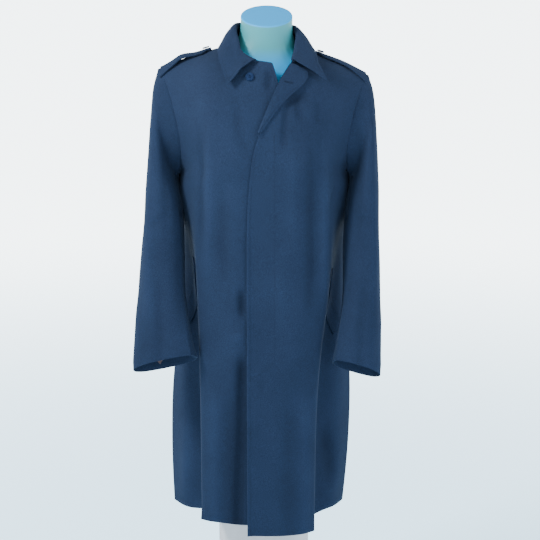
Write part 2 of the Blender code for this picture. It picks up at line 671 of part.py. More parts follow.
def build_lining(rows):
    """Band of lining that shows inside the wearer's right cuff."""
    depth = WALL + LINING_WALL + SEAM_GAP
    grid = []
    for low, high in zip(rows[-4:-1], rows[-3:]):
        middle = sum(low, Vector()) / len(low)
        ring = []
        for point, below in zip(low, high):
            inward = middle - point
            along = (below - point).normalized()
            inward = (inward - along * inward.dot(along)).normalized()
            ring.append(point + inward * depth)
        grid.append(ring)
    sheet_object("sleeve_lining_right", grid, "under", LINING_WALL, flip=True, closed=True)


def neckline(right, left, back):
    """Points along the neck edges of the panels, from the right front to the left."""
    start = [row[0] for row in right[LOWER_ROWS:] if row[0].x < 0.01]
    end = [row[0] for row in left[LOWER_ROWS:] if row[0].z > 1.44]
    middle = [point for point in back[-1] if start[-1].x < point.x < end[-1].x]
    return start + middle + end[::-1]


def nearest_on(line, point):
    """Nearest point of a polyline."""
    best = None
    for here, there in zip(line, line[1:]):
        span = there - here
        share = min(max((point - here).dot(span) / span.length_squared, 0.0), 1.0)
        found = here + span * share
        if best is None or (found - point).length < (best - point).length:
            best = found
    return best


def build_collar(tree, neck):
    """The collar: a stand that rises from the neckline, rolls over and falls."""
    controls = []
    inside = Vector((0.0, 0.0, 1.30))
    for station in COLLAR:
        foot, roll, edge = Vector(station.foot), Vector(station.roll), Vector(station.edge)
        foot = nearest_on(neck, foot) + Vector((0.0, 0.0, FOOT_LIFT))
        out = Vector((edge.x - roll.x, edge.y - roll.y, 0.0)).normalized()
        rise = (roll - foot).length
        bend = min(0.0060, 0.42 * rise)
        crest_in = roll - out * bend - Vector((0.0, 0.0, bend))
        crest_out = roll + out * bend - Vector((0.0, 0.0, bend))
        edge = clear_of(tree, edge, 0.0068, inside)
        belly = clear_of(tree, lerp(crest_out, edge, 0.5) + out * 0.003, 0.0064, inside)
        profile = smooth_line([foot, crest_in, roll, crest_out, belly, edge], 90)
        controls.append(even_line(profile, 9))
    knots = [0.0]
    for before, after in zip(controls, controls[1:]):
        knots.append(knots[-1] + (after[4] - before[4]).length)
    levels = [knots[-1] * i / COLLAR_ROWS for i in range(COLLAR_ROWS + 1)]
    rows = loft(controls, knots, levels)
    for row in rows:
        row[0] = nearest_on(neck, row[0]) + Vector((0.0, 0.0, FOOT_LIFT))
        for c in range(4, len(row)):
            row[c] = clear_of(tree, row[c], COLLAR_WALL + 0.0012, inside)
    sheet_object("collar", rows, "wool", COLLAR_WALL, flip=True)


def edge_at(line, z):
    """How far across an edge lies at a height."""
    for low, high in zip(line, line[1:]):
        if high.z >= z:
            return lerp(low.x, high.x, (z - low.z) / (high.z - low.z))
    return line[-1].x


def build_turned_corner(tree, front):
    """The over front's top corner, turned back so that its facing shows."""
    edge_line = [row[0] for row in front[LOWER_ROWS:]]
    rows = []
    lines = smooth_line([Vector((t.line[0], 0.0, t.line[1])) for t in TURNED_CORNER], CORNER_ROWS)
    edges = smooth_line([Vector((t.edge[0], 0.0, t.edge[1])) for t in TURNED_CORNER], CORNER_ROWS)
    for line, edge in zip(lines, edges):
        start = edge_at(edge_line, line.z)
        row = []
        for c in range(CORNER_COLUMNS + 1):
            share = c / CORNER_COLUMNS
            x = lerp(start + CORNER_SETBACK, edge.x, share)
            z = lerp(line.z, edge.z, share)
            swell = CORNER_SWELL * math.sin(math.pi * min(share * 1.1, 1.0))
            lift = WALL + SEAM_GAP * 3.5 + swell + CORNER_RISE * share
            row.append(on_front(tree, x, z, lift))
        rows.append(row)
    sheet_object("turned_corner", rows, "wool", WALL, flip=True)


def panel_at(rows, place, z, side):
    """Point and outward normal of a front at a share of its width and a height."""
    count = len(rows[0]) - 1
    c = min(int(place * count), count - 1)
    across = place * count - c
    r = max(i for i in range(LOWER_ROWS) if rows[i][c].z <= z or i == 0)
    up = min(max((z - rows[r][c].z) / (rows[r + 1][c].z - rows[r][c].z), 0.0), 1.0)
    low = lerp(rows[r][c], rows[r][c + 1], across)
    high = lerp(rows[r + 1][c], rows[r + 1][c + 1], across)
    normal = (rows[r][c + 1] - rows[r][c]).cross(high - low).normalized()
    return lerp(low, high, up), normal * side


def build_welt(rows, corner_place, corner_z, word, side):
    """A slanting pocket welt laid on a front panel."""
    width = sum((b - a).length for a, b in zip(rows[6], rows[6][1:]))
    lean = math.radians(31)
    grid = []
    for i in range(WELT_ROWS + 1):
        along = WELT_LENGTH * i / WELT_ROWS
        row = []
        for j in range(WELT_COLUMNS + 1):
            across = WELT_WIDTH * j / WELT_COLUMNS
            place = corner_place + (along * math.sin(lean) + across * math.cos(lean)) / width
            z = corner_z - along * math.cos(lean) + across * math.sin(lean)
            point, normal = panel_at(rows, min(place, 0.985), z, side)
            row.append(point + normal * (WELT_THICK + WELT_LIFT))
        grid.append(row)
    sheet_object("pocket_welt_%s" % word, grid, "wool", WELT_THICK, flip=side > 0)


def on_top(tree, x, y):
    """Point on the cloth below a place above the shoulders, over any seam."""
    hits = [tree.ray_cast(Vector((x + step, y, 2.0)), Vector((0.0, 0.0, -1.0)))[0]
            for step in (-0.002, 0.0, 0.002)]
    return Vector((x, y, max(hit.z for hit in hits if hit)))


def build_epaulette(tree, side, word):
    """A shoulder strap, sewn in at the sleeve head and buttoned by the collar."""
    lifts = [strap.right_lift if side < 0 else strap.left_lift for strap in EPAULETTE]
    stations = [Vector((strap.x, 0.0, lift)) for strap, lift in zip(EPAULETTE, lifts)]
    path = smooth_line(stations, EPAULETTE_ROWS)
    grid = []
    for number, station in enumerate(path):
        taper = 1.0 if number < EPAULETTE_ROWS - 1 else EPAULETTE_TIP
        half = EPAULETTE_WIDTH / 2 * lerp(1.0, EPAULETTE_TAPER, number / EPAULETTE_ROWS) * taper
        row = []
        for j in range(EPAULETTE_COLUMNS + 1):
            y = EPAULETTE_Y + half * (2 * j / EPAULETTE_COLUMNS - 1)
            hit = on_top(tree, side * station.x, y)
            row.append(hit + Vector((0.0, 0.0, station.z + EPAULETTE_THICK * 0.5)))
        grid.append(row)
    sheet_object("epaulette_%s" % word, grid, "wool", EPAULETTE_THICK, flip=side < 0)
    strap = surface_tree(grid)
    seat = Vector((side * SMALL_BUTTON_X, EPAULETTE_Y, 2.0))
    spot, facing, _, _ = strap.ray_cast(seat, Vector((0.0, 0.0, -1.0)))
    facing = facing if facing.z > 0 else -facing
    build_button("button_epaulette_" + word, spot + facing * BUTTON_LIFT, facing, SMALL_BUTTON_R)


def build_button(name, centre, normal, radius):
    """A sewn-on button: a shallow turned disc, flat side to the cloth."""
    mesh = bpy.data.meshes.new(name)
    edges = [(i, i + 1) for i in range(len(BUTTON) - 1)]
    mesh.from_pydata([(radius * r, 0.0, BUTTON_H * h) for r, h in BUTTON], edges, [])
    made = new_object(name, mesh, "button")
    turn = made.modifiers.new("turned", "SCREW")
    turn.angle = 2 * math.pi
    turn.steps = 16
    turn.render_steps = 16
    turn.use_merge_vertices = True
    turn.merge_threshold = 0.00001
    turn.use_smooth_shade = True
    made.rotation_euler = normal.to_track_quat("Z", "Y").to_euler()
    made.location = centre


def form_ring(level, count):
    """One level of the dress form."""
    ring = []
    middle_y = (level.front + level.back) / 2
    for i in range(count):
        turn = 2 * math.pi * i / count
        x = level.mid_x + level.half * power(math.sin(turn), 2.0 / level.square)
        depth = middle_y - level.front if math.cos(turn) > 0 else level.back - middle_y
        y = middle_y - depth * power(math.cos(turn), 2.0 / level.square)
        ring.append(Vector((x, y, level.z + level.slant * (y - middle_y))))
    return ring


def build_form():
    """The limbless dress form, closed at the neck by its slanting cap."""
    controls = [form_ring(level, FORM_COLUMNS) for level in FORM]
    knots = [level.z for level in FORM]
    levels = [lerp(knots[0], knots[-1], i / FORM_ROWS) for i in range(FORM_ROWS + 1)]
    rows = loft(controls, knots, levels)
    mesh = bpy.data.meshes.new("dress_form")
    shape = bmesh.new()
    rings = [[shape.verts.new(point) for point in row] for row in rows]
    for low, high in zip(rings, rings[1:]):
        for c in range(FORM_COLUMNS):
            step = (c + 1) % FORM_COLUMNS
            shape.faces.new((low[c], low[step], high[step], high[c]))
    for ring, order in ((rings[0], -1), (rings[-1], 1)):
        shape.faces.new(ring[::order])
    bmesh.ops.recalc_face_normals(shape, faces=shape.faces)
    bmesh.ops.triangulate(shape, faces=[face for face in shape.faces if len(face.verts) > 4])
    shape.to_mesh(mesh)
    shape.free()
    mesh.shade_smooth()
    new_object("dress_form", mesh, "form")


def build_pedestal():
    """The plain round pedestal that carries the form: foot plate and column."""
    profile = ((0.0, PEDESTAL_TOP_Z), (PEDESTAL_R - 0.006, PEDESTAL_TOP_Z),
               (PEDESTAL_R, PEDESTAL_TOP_Z - 0.006), (PEDESTAL_R, PEDESTAL_BASE_H + 0.006),
               (PEDESTAL_R + 0.006, PEDESTAL_BASE_H), (PEDESTAL_BASE_R - 0.006, PEDESTAL_BASE_H),
               (PEDESTAL_BASE_R, PEDESTAL_BASE_H - 0.006), (PEDESTAL_BASE_R, 0.0), (0.0, 0.0))
    mesh = bpy.data.meshes.new("pedestal")
    edges = [(i, i + 1) for i in range(len(profile) - 1)]
    mesh.from_pydata([(r, 0.0, z) for r, z in profile], edges, [])
    made = new_object("pedestal", mesh, "pedestal")
    turn = made.modifiers.new("turned", "SCREW")
    turn.angle = 2 * math.pi
    turn.steps = 32
    turn.render_steps = 32
    turn.use_merge_vertices = True
    turn.merge_threshold = 0.00001


def main():
    """Build the coat, the form and the pedestal."""
    clear_scene()
    bpy.context.scene.collection.children.link(bpy.data.collections.new(PARTS))
    right, left, back = front_rows(-1), front_rows(1), back_rows()
    share_shoulder(right, back, -1)
    share_shoulder(left, back, 1)
    share_side(right, back, 0)
    share_side(left, back, -1)
    tuck_under(right, surface_tree(left))
    loops = {-1: armhole(right, back, 0), 1: armhole(left, back, -1)}
    tree = surface_tree(right, left, back)
    rings = {-1: sleeve_rows(loops[-1], RIGHT_SLEEVE, -1), 1: sleeve_rows(loops[1], LEFT_SLEEVE, 1)}
    top_tree = surface_tree(right, left, back, *[[ring + ring[:1] for ring in rings[side]] for side in rings])

    body = shared_normals(((right, -1, False), (left, 1, False), (back, -1, False)))
    arms = shared_normals(((rings[-1], -1, True), (rings[1], 1, True)))
    turns = {name: read_normals(rows, body)
             for name, rows in (("right", right), ("left", left), ("back", back))}
    turns["sleeve_right"] = read_normals(rings[-1], arms)
    turns["sleeve_left"] = read_normals(rings[1], arms)
    seam_normals(right, back, turns["right"], turns["back"])
    seam_normals(left, back, turns["left"], turns["back"])
    for side, word in ((-1, "right"), (1, "left")):
        rings[side][0] = [p + (q - p).normalized() * ARMHOLE_GAP for p, q in zip(rings[side][0], rings[side][1])]
        build_sleeve(rings[side], turns["sleeve_" + word], word)
        build_epaulette(top_tree, side, word)
    build_lining(rings[-1])
    build_welt(right, 0.602, 1.007, "right", -1)
    build_welt(left, 0.572, 0.982, "left", 1)
    build_collar(tree, neckline(right, left, back))
    build_turned_corner(surface_tree(left), left)
    under = surface_tree(right)
    spot = on_front(under, BUTTON_X, BUTTON_Z, 0.0)
    facing = (on_front(under, BUTTON_X, BUTTON_Z, 1.0) - spot).normalized()
    build_button("button_neck", spot + facing * BUTTON_LIFT, facing, BUTTON_R)

    for name, rows in (("right", right), ("left", left)):
        pull_column(rows, -1, -2, SEAM_GAP / 2)
        pull_row(rows, -1, -2, SEAM_GAP * 1.5)
        wall_object("front_" + name, rows, turns[name], "wool", WALL)
    pull_column(back, 0, 1, SEAM_GAP / 2)
    pull_column(back, -1, -2, SEAM_GAP / 2)
    pull_row(back, -1, -2, SEAM_GAP * 1.5)
    wall_object("back", back, turns["back"], "wool", WALL)
    build_form()
    build_pedestal()


main()
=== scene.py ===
"""A knee-length wool overcoat worn by a limbless dress form on a plain pedestal."""
import math
from collections import Counter, namedtuple

import bmesh
import bpy
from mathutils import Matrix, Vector, noise
from mathutils.bvhtree import BVHTree


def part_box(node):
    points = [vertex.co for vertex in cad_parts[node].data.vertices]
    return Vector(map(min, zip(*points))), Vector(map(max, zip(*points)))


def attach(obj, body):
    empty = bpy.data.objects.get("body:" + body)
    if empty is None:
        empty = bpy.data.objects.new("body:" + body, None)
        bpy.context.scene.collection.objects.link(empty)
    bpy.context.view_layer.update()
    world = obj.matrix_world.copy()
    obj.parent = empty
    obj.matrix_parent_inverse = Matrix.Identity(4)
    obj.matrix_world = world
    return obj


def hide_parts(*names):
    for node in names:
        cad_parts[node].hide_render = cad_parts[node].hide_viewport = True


bl_info = {
    "name": "Overcoat on its form",
    "version": (1, 0, 0),
    "blender": (4, 5, 0),
    "location": "3D View > Sidebar > Overcoat",
    "description": "Dresses the overcoat's solids as sewn wool cloth, with its form, pedestal and stage",
    "category": "Object",
}

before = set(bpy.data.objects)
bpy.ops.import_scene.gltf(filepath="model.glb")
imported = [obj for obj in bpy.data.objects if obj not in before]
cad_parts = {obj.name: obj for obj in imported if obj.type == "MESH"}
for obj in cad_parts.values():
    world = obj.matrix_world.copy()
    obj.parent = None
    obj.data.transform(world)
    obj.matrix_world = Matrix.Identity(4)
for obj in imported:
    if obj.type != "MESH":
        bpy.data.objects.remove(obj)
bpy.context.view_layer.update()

# ---------------------------------------------------------------- where things lie
# Middle line of each sleeve from the sleeve head to the cuff, for charts round the arm.
ARM_LINE = {
    "right": ((-0.224, 0.024, 1.310), (-0.2235, -0.014, 1.218), (-0.2245, -0.033, 1.145),
              (-0.2275, -0.046, 1.055), (-0.2295, -0.074, 0.955), (-0.2285, -0.101, 0.865),
              (-0.2265, -0.120, 0.787)),
    "left": ((0.226, 0.024, 1.310), (0.2245, -0.014, 1.213), (0.2240, -0.033, 1.140),
             (0.2245, -0.046, 1.050), (0.2230, -0.074, 0.950), (0.2180, -0.101, 0.860),
             (0.2105, -0.120, 0.780)),
}
# A point in front of the skin that shows, for each piece of cloth.
OUTSIDE = {
    "front_left": (0.06, -0.40, 0.90), "front_right": (-0.10, -0.40, 0.90),
    "back": (0.0, 0.40, 0.90),
    "sleeve_left_upper": (0.50, -0.06, 1.00), "sleeve_right_upper": (-0.50, -0.06, 1.00),
    "sleeve_left_under": (0.20, 0.055, 1.03), "sleeve_right_under": (-0.20, 0.055, 1.03),
    "collar": (0.0, 0.40, 1.53), "turned_corner": (0.07, -0.40, 1.43),
    "epaulette_left": (0.17, 0.01, 1.80), "epaulette_right": (-0.17, 0.01, 1.80),
    "pocket_welt_left": (0.40, -0.30, 0.95), "pocket_welt_right": (-0.40, -0.30, 0.95),
    "sleeve_lining_right": (-0.2265, -0.118, 0.800),
}
# Half the width of body and sleeve: they turn an angle into metres along the cloth.
BODY_ROUND = 0.17
ARM_ROUND = 0.058
# Corners closer together than this are one.
WELD = 0.00002
# Two faces that turn by less than this belong to the same side of the cloth.
SIDE_TURN = math.radians(60)
# Line of the neck edge that the collar's foot is sewn to, seen from above.
COLLAR_FOOT = ((-0.016, -0.100), (-0.034, -0.092), (-0.058, -0.060), (-0.074, -0.010), (-0.058, 0.050),
               (0.002, 0.079), (0.064, 0.048), (0.079, -0.010), (0.071, -0.056), (0.064, -0.083),
               (0.060, -0.096))
# Line along which the left front's corner turns back, seen from the front.
TURN_LINE = ((0.0570, 1.4630), (0.0440, 1.4420), (0.0260, 1.4080), (0.0040, 1.3580))
# Sewn end of the fly, across and up: down beside the edge, then out to it.
FLY_LINE = ((0.0251, 1.318), (0.0251, 1.100), (0.0251, 0.830), (0.0238, 0.810), (0.0190, 0.797),
            (0.0108, 0.790), (-0.0080, 0.777), (-0.0225, 0.7670), (-0.0335, 0.7640))
# The two ends of the buttonhole in the turned-back corner, across and up.
BUTTONHOLE = ((0.0468, 1.4270), (0.0652, 1.4222))

# ---------------------------------------------------------------- the cut
BODY_WALL = 0.0022
# Each piece of cloth: its wall, the flat size it was cut to, the area of its shape where that
# is smaller, how it is held, and what it lies on.
Cut = namedtuple("Cut", "wall flat area held rests_on")
CUTS = {
    "front_right": Cut(BODY_WALL, (0.46, 1.13), 0.395, "hung", "dress_form"),
    "front_left": Cut(BODY_WALL, (0.44, 1.13), 0.376, "hung", "dress_form"),
    "back": Cut(BODY_WALL, (0.58, 1.12), 0.536, "hung", "dress_form"),
    "sleeve_lining_right": Cut(0.0010, (0.30, 0.10), None, "hung", "sleeve_right_under_cloth"),
    "collar": Cut(0.0026, (0.56, 0.125), 0.058, "folded", "front_left_cloth"),
    "turned_corner": Cut(BODY_WALL, (0.075, 0.125), 0.0057, "folded", "front_left_cloth"),
}
for side in ("right", "left"):
    CUTS["sleeve_%s_upper" % side] = Cut(BODY_WALL, (0.26, 0.69), 0.130, "hung", "front_%s_cloth" % side)
    CUTS["sleeve_%s_under" % side] = Cut(BODY_WALL, (0.15, 0.58), 0.065, "hung",
                                         "sleeve_%s_upper_cloth" % side)
    CUTS["epaulette_" + side] = Cut(0.0030, (0.050, 0.128), 0.0060, "folded", "front_%s_cloth" % side)
    CUTS["pocket_welt_" + side] = Cut(BODY_WALL, (0.038, 0.182), None, "folded", "front_%s_cloth" % side)
# Skins of the cloth pieces made so far, as search trees.
SKINS = {}
# A border that turns by more than this is a corner; the turn over which its hold grows, and
# the hardest hold.
CORNER_FROM = math.radians(24)
CORNER_SPAN = math.radians(30)
CORNER_HOLD = 0.75
# Seams that are drawn shut: how far a border is drawn below the armpit and above it, what it
# is sewn to, and the gap that is left.
SEAM_REACH = 0.0032
SEAM_LEFT = 0.0002
ARMPIT_Z = 1.185
Seam = namedtuple("Seam", "high_reach sewn_to")
SEAMS = {
    "back": Seam(SEAM_REACH, ("front_right", "front_left")),
    "collar": Seam(0.0065, ("front_right", "front_left", "back")),
}
for side in ("right", "left"):
    upper, front = "sleeve_%s_upper" % side, "front_" + side
    SEAMS[upper] = Seam(0.0085, (front, "back"))
    SEAMS["sleeve_%s_under" % side] = Seam(0.0085, (upper, front, "back"))
# Random unevenness of the cloth: how far it goes, and share and cells a metre of its two waves.
UNEVEN = 0.0006
WAVES = ((0.6, 14.0), (0.25, 34.0))
# Share of the unevenness and of a fold that reaches a border.
BORDER_SHARE = 0.35
# How far from its line a crease still acts, in half widths.
CREASE_REACH = 2.6

# ---------------------------------------------------------------- creases
# Each crease is a line in the piece's chart (metres across or round, and height), how far
# it stands out (+) or sinks in (-), its half width, and the share of it that fades out.
# A crease's depth also sets the wool's painted shade in its trough and painted light on its ridge.
Crease = namedtuple("Crease", "line depth width fade open_end edge")


def crease(line, depth, width, fade=0.35, open_end=False, edge=False):
    """One soft fold; one with an open end runs out over the hem, one of an edge shapes it too."""
    return Crease(line, depth, width, fade, open_end, edge)


CREASES = {
    "front_right": (
        crease(((-0.052, 0.980), (-0.050, 0.895)), -0.0065, 0.010, 0.4),
        crease(((-0.064, 0.876), (-0.060, 0.842)), 0.0040, 0.014, 0.5),
        crease(((-0.050, 0.842), (-0.051, 0.640), (-0.058, 0.395)), -0.0095, 0.014, 0.15, open_end=True),
        crease(((-0.072, 0.770), (-0.076, 0.600), (-0.072, 0.395)), -0.0045, 0.020, 0.3, open_end=True),
        crease(((-0.110, 0.780), (-0.113, 0.600), (-0.112, 0.395)), 0.0038, 0.016, 0.3, open_end=True),
        crease(((-0.094, 1.250), (-0.098, 1.080), (-0.095, 0.940)), -0.0032, 0.015),
        crease(((-0.126, 1.385), (-0.130, 1.170), (-0.134, 0.930)), 0.0030, 0.013),
        crease(((-0.152, 1.330), (-0.150, 1.160), (-0.154, 1.020)), -0.0034, 0.011),
        crease(((-0.070, 1.400), (-0.062, 1.330), (-0.030, 1.250)), -0.0024, 0.012),
        crease(((-0.186, 1.205), (-0.150, 1.150)), -0.0016, 0.010),
        crease(((0.014, 1.460), (0.020, 1.430), (0.010, 1.400)), -0.0044, 0.013),
        crease(((-0.236, 0.700), (-0.244, 0.540), (-0.250, 0.420)), 0.0040, 0.016, 0.4),
    ),
    "front_left": (
        crease(((-0.042, 1.200), (-0.043, 0.900), (-0.042, 0.392)), 0.0034, 0.010, 0.2, open_end=True,
               edge=True),
        crease(((0.146, 1.310), (0.147, 1.100), (0.146, 0.900)), 0.0044, 0.011),
        crease(((0.110, 1.335), (0.116, 1.060), (0.113, 0.860)), -0.0044, 0.012),
        crease(((0.070, 1.400), (0.056, 1.345), (0.046, 1.270)), -0.0036, 0.009),
        crease(((0.088, 1.405), (0.092, 1.330)), -0.0034, 0.009),
        crease(((0.136, 1.392), (0.132, 1.325)), -0.0026, 0.009),
        crease(((0.052, 1.372), (0.084, 1.392), (0.128, 1.400)), -0.0052, 0.014),
        crease(((0.072, 1.330), (0.070, 1.180), (0.076, 1.020)), 0.0022, 0.014),
        crease(((0.040, 1.060), (0.046, 0.860)), 0.0018, 0.018),
        crease(((0.062, 0.740), (0.060, 0.560), (0.061, 0.392)), -0.0026, 0.018, 0.3, open_end=True),
        crease(((0.098, 0.760), (0.100, 0.560), (0.098, 0.392)), 0.0036, 0.014, 0.3, open_end=True),
        crease(((-0.004, 0.780), (-0.003, 0.720)), -0.0018, 0.010, 0.5),
        crease(((0.224, 0.640), (0.238, 0.530), (0.244, 0.440)), -0.0060, 0.014, 0.4),
        crease(((0.190, 1.205), (0.156, 1.150)), -0.0016, 0.010),
    ),
    "back": (
        crease(((0.004, 1.400), (-0.002, 1.220), (0.002, 1.060)), -0.0030, 0.028),
        crease(((0.182, 1.235), (0.130, 1.160), (0.092, 1.080)), -0.0034, 0.013),
        crease(((0.176, 1.200), (0.132, 1.120)), 0.0020, 0.011),
        crease(((-0.184, 1.240), (-0.142, 1.150), (-0.088, 1.100)), -0.0030, 0.014),
        crease(((-0.178, 1.190), (-0.136, 1.090)), 0.0018, 0.011),
        crease(((0.062, 1.080), (0.070, 0.760), (0.064, 0.395)), 0.0042, 0.024, 0.3, open_end=True),
        crease(((-0.088, 1.020), (-0.078, 0.720), (-0.090, 0.395)), -0.0042, 0.022, 0.3, open_end=True),
        crease(((-0.140, 0.860), (-0.148, 0.395)), 0.0040, 0.018, 0.4, open_end=True),
        crease(((0.118, 0.840), (0.124, 0.395)), -0.0036, 0.018, 0.4, open_end=True),
        crease(((-0.050, 1.452), (0.000, 1.444), (0.048, 1.450)), -0.0018, 0.009),
        crease(((-0.100, 1.400), (-0.072, 1.340)), -0.0014, 0.012),
        crease(((0.106, 1.392), (0.080, 1.330)), -0.0016, 0.012),
    ),
    "sleeve_right_upper": (
        crease(((0.098, 1.320), (0.096, 1.190), (0.104, 1.040)), -0.0026, 0.011),
        crease(((0.064, 1.160), (0.058, 1.010), (0.064, 0.850)), 0.0026, 0.013),
        crease(((0.088, 1.010), (0.090, 0.900), (0.084, 0.800)), -0.0022, 0.012, 0.3, open_end=True),
        crease(((0.024, 1.330), (0.020, 1.180), (0.026, 1.030)), -0.0022, 0.014),
        crease(((0.018, 0.960), (0.010, 0.800)), 0.0022, 0.014, 0.4, open_end=True),
        crease(((0.060, 1.100), (0.104, 1.126)), -0.0016, 0.009),
        crease(((-0.020, 1.086), (0.024, 1.100)), -0.0026, 0.010),
        crease(((-0.040, 1.040), (0.010, 1.052)), -0.0022, 0.009),
        crease(((-0.030, 1.330), (-0.018, 1.200), (-0.030, 1.080)), 0.0024, 0.018),
        crease(((-0.050, 1.010), (-0.020, 0.965)), -0.0020, 0.010),
        crease(((0.052, 1.412), (0.056, 1.352)), -0.0014, 0.006),
        crease(((-0.020, 1.410), (-0.022, 1.350)), -0.0012, 0.006),
    ),
    "sleeve_left_upper": (
        crease(((0.100, 1.310), (0.100, 1.180), (0.106, 1.030)), -0.0026, 0.011),
        crease(((0.066, 1.230), (0.064, 1.060), (0.058, 0.900)), 0.0026, 0.013),
        crease(((0.088, 1.000), (0.092, 0.890), (0.086, 0.790)), -0.0022, 0.012, 0.3, open_end=True),
        crease(((0.070, 1.352), (0.092, 1.318)), -0.0020, 0.008, 0.5),
        crease(((0.024, 1.300), (0.022, 1.160), (0.028, 1.010)), -0.0022, 0.014),
        crease(((0.018, 0.940), (0.012, 0.790)), 0.0020, 0.014, 0.4, open_end=True),
        crease(((0.064, 1.110), (0.106, 1.130)), -0.0016, 0.009),
        crease(((-0.024, 1.098), (0.020, 1.118)), -0.0026, 0.010),
        crease(((-0.044, 1.034), (0.006, 1.050)), -0.0020, 0.009),
        crease(((-0.034, 1.320), (-0.026, 1.180), (-0.034, 1.060)), 0.0022, 0.018),
        crease(((0.050, 1.396), (0.054, 1.340)), -0.0014, 0.006),
        crease(((-0.024, 1.398), (-0.026, 1.342)), -0.0012, 0.006),
    ),
    "sleeve_right_under": (
        crease(((0.104, 1.136), (0.160, 1.122)), -0.0026, 0.010),
        crease(((0.104, 1.078), (0.150, 1.060)), -0.0024, 0.010),
        crease(((-0.160, 1.070), (-0.110, 1.040)), -0.0022, 0.012),
        crease(((0.140, 0.960), (0.150, 0.840)), 0.0020, 0.014),
    ),
    "sleeve_left_under": (
        crease(((0.106, 1.128), (0.164, 1.112)), -0.0026, 0.010),
        crease(((0.100, 1.066), (0.148, 1.048)), -0.0022, 0.010),
        crease(((-0.158, 1.060), (-0.112, 1.024)), -0.0022, 0.012),
        crease(((0.136, 0.950), (0.150, 0.830)), 0.0020, 0.014),
    ),
    "collar": (
        crease(((-0.030, 1.520), (-0.070, 1.500)), 0.0006, 0.012),
        crease(((0.100, 1.470), (0.126, 1.440)), -0.0006, 0.012),
    ),
}
# Where an edge lies a little off its solid's: centre, shift, and how far the shift reaches.
NUDGES = {
    "front_right": (((0.0264, -0.1099, 1.4532), (-0.0062, 0.0040, 0.0128), (0.017, 0.050, 0.018)),),
    "sleeve_lining_right": (((-0.2376, -0.0675, 0.8238), (0.0, -0.0200, -0.0460), (0.019, 0.050, 0.030)),),
    "front_left": (((-0.018, -0.140, 1.285), (0.0140, 0.0, 0.0), (0.045, 0.200, 0.085)),),
    "sleeve_right_upper": (((-0.231, 0.099, 1.324), (0.0036, -0.0048, 0.0), (0.034, 0.034, 0.018)),),
    "sleeve_right_under": (((-0.231, 0.099, 1.324), (0.0036, -0.0048, 0.0), (0.034, 0.034, 0.018)),),
    "sleeve_left_upper": (((0.232, 0.099, 1.320), (-0.0036, -0.0048, 0.0), (0.034, 0.034, 0.018)),),
    "sleeve_left_under": (((0.232, 0.099, 1.320), (-0.0036, -0.0048, 0.0), (0.034, 0.034, 0.018)),),
    "turned_corner": (((0.009, -0.140, 1.349), (-0.0165, -0.0050, -0.0400), (0.050, 0.050, 0.040)),),
    "collar": (
        ((-0.040, -0.115, 1.443), (-0.0020, 0.0, 0.0085), (0.018, 0.050, 0.018)),
        ((-0.0685, -0.115, 1.415), (-0.0048, 0.0, 0.0035), (0.020, 0.050, 0.020)),
        ((0.103, -0.050, 1.4995), (0.0060, 0.0, 0.0020), (0.030, 0.050, 0.030)),
        ((0.000, 0.105, 1.4980), (0.0, -0.0080, -0.0170), (0.095, 0.045, 0.016)),
        ((0.112, 0.012, 1.4970), (-0.0020, 0.0, -0.0080), (0.030, 0.050, 0.014)),
        ((-0.101, 0.010, 1.5030), (0.0020, 0.0, -0.0080), (0.030, 0.050, 0.014)),
    ),
}
# Fullness of the cloth under each arm, where body and sleeve press on each other.
SWELLS = (
    # centre, depth, radius seen from above, reach up and down
    ((-0.192, 0.000, 1.165), 0.0056, 0.065, 0.060),
    ((0.194, 0.000, 1.165), 0.0056, 0.065, 0.060),
)


# ---------------------------------------------------------------- small tools
def linear(hex_colour):
    """An sRGB hex colour as linear red, green, blue and alpha."""
    parts = [int(hex_colour[i:i + 2], 16) / 255 for i in (1, 3, 5)]
    return [p / 12.92 if p <= 0.04045 else ((p + 0.055) / 1.055) ** 2.4 for p in parts] + [1.0]


def add_node(tree, kind, settings=None, inputs=None):
    """Add a node to a tree, with its settings, its values and the links into it."""
    node = tree.nodes.new(kind)
    for name, value in (settings or {}).items():
        setattr(node, name, value)
    for name, value in (inputs or {}).items():
        if isinstance(value, bpy.types.NodeSocket):
            tree.links.new(value, node.inputs[name])
        else:
            node.inputs[name].default_value = value
    return node


def lerp(start, end, share):
    """Blend of two values."""
    return start + (end - start) * share


def finish_piece(obj, material, slot, *nodes):
    """Give a piece its finish, its body and the solid that it stands for."""
    obj.data.materials.clear()
    obj.data.materials.append(material)
    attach(obj, "root")
    if nodes:
        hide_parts(*nodes)


def new_piece(name, shape):
    """An object made of a bmesh, which is used up."""
    mesh = bpy.data.meshes.new(name)
    shape.to_mesh(mesh)
    shape.free()
    made = bpy.data.objects.new(name, mesh)
    bpy.context.scene.collection.objects.link(made)
    return made


def select_only(obj):
    """Make a piece the one that is selected and active."""
    bpy.ops.object.select_all(action="DESELECT")
    obj.select_set(True)
    bpy.context.view_layer.objects.active = obj


def apply_all(obj):
    """Apply every modifier of a piece."""
    select_only(obj)
    for modifier in list(obj.modifiers):
        bpy.ops.object.modifier_apply(modifier=modifier.name)


def smoothen(obj, levels):
    """Round a piece by subdivision."""
    smooth = obj.modifiers.new("smooth", "SUBSURF")
    smooth.levels = levels
    smooth.render_levels = levels
    return smooth


def round_edges(obj, width, segments, degrees):
    """Round every edge of a piece that is sharper than an angle."""
    rounded = obj.modifiers.new("rounded edges", "BEVEL")
    rounded.width = width
    rounded.segments = segments
    rounded.limit_method = "ANGLE"
    rounded.angle_limit = math.radians(degrees)


def combine(obj, operation, tools):
    """Join pieces to a piece, or cut them out of it, and remove them."""
    for tool in tools:
        modifier = obj.modifiers.new(tool.name, "BOOLEAN")
        modifier.operation = operation
        modifier.solver = "EXACT"
        modifier.object = tool
    apply_all(obj)
    for tool in tools:
        bpy.data.objects.remove(tool)


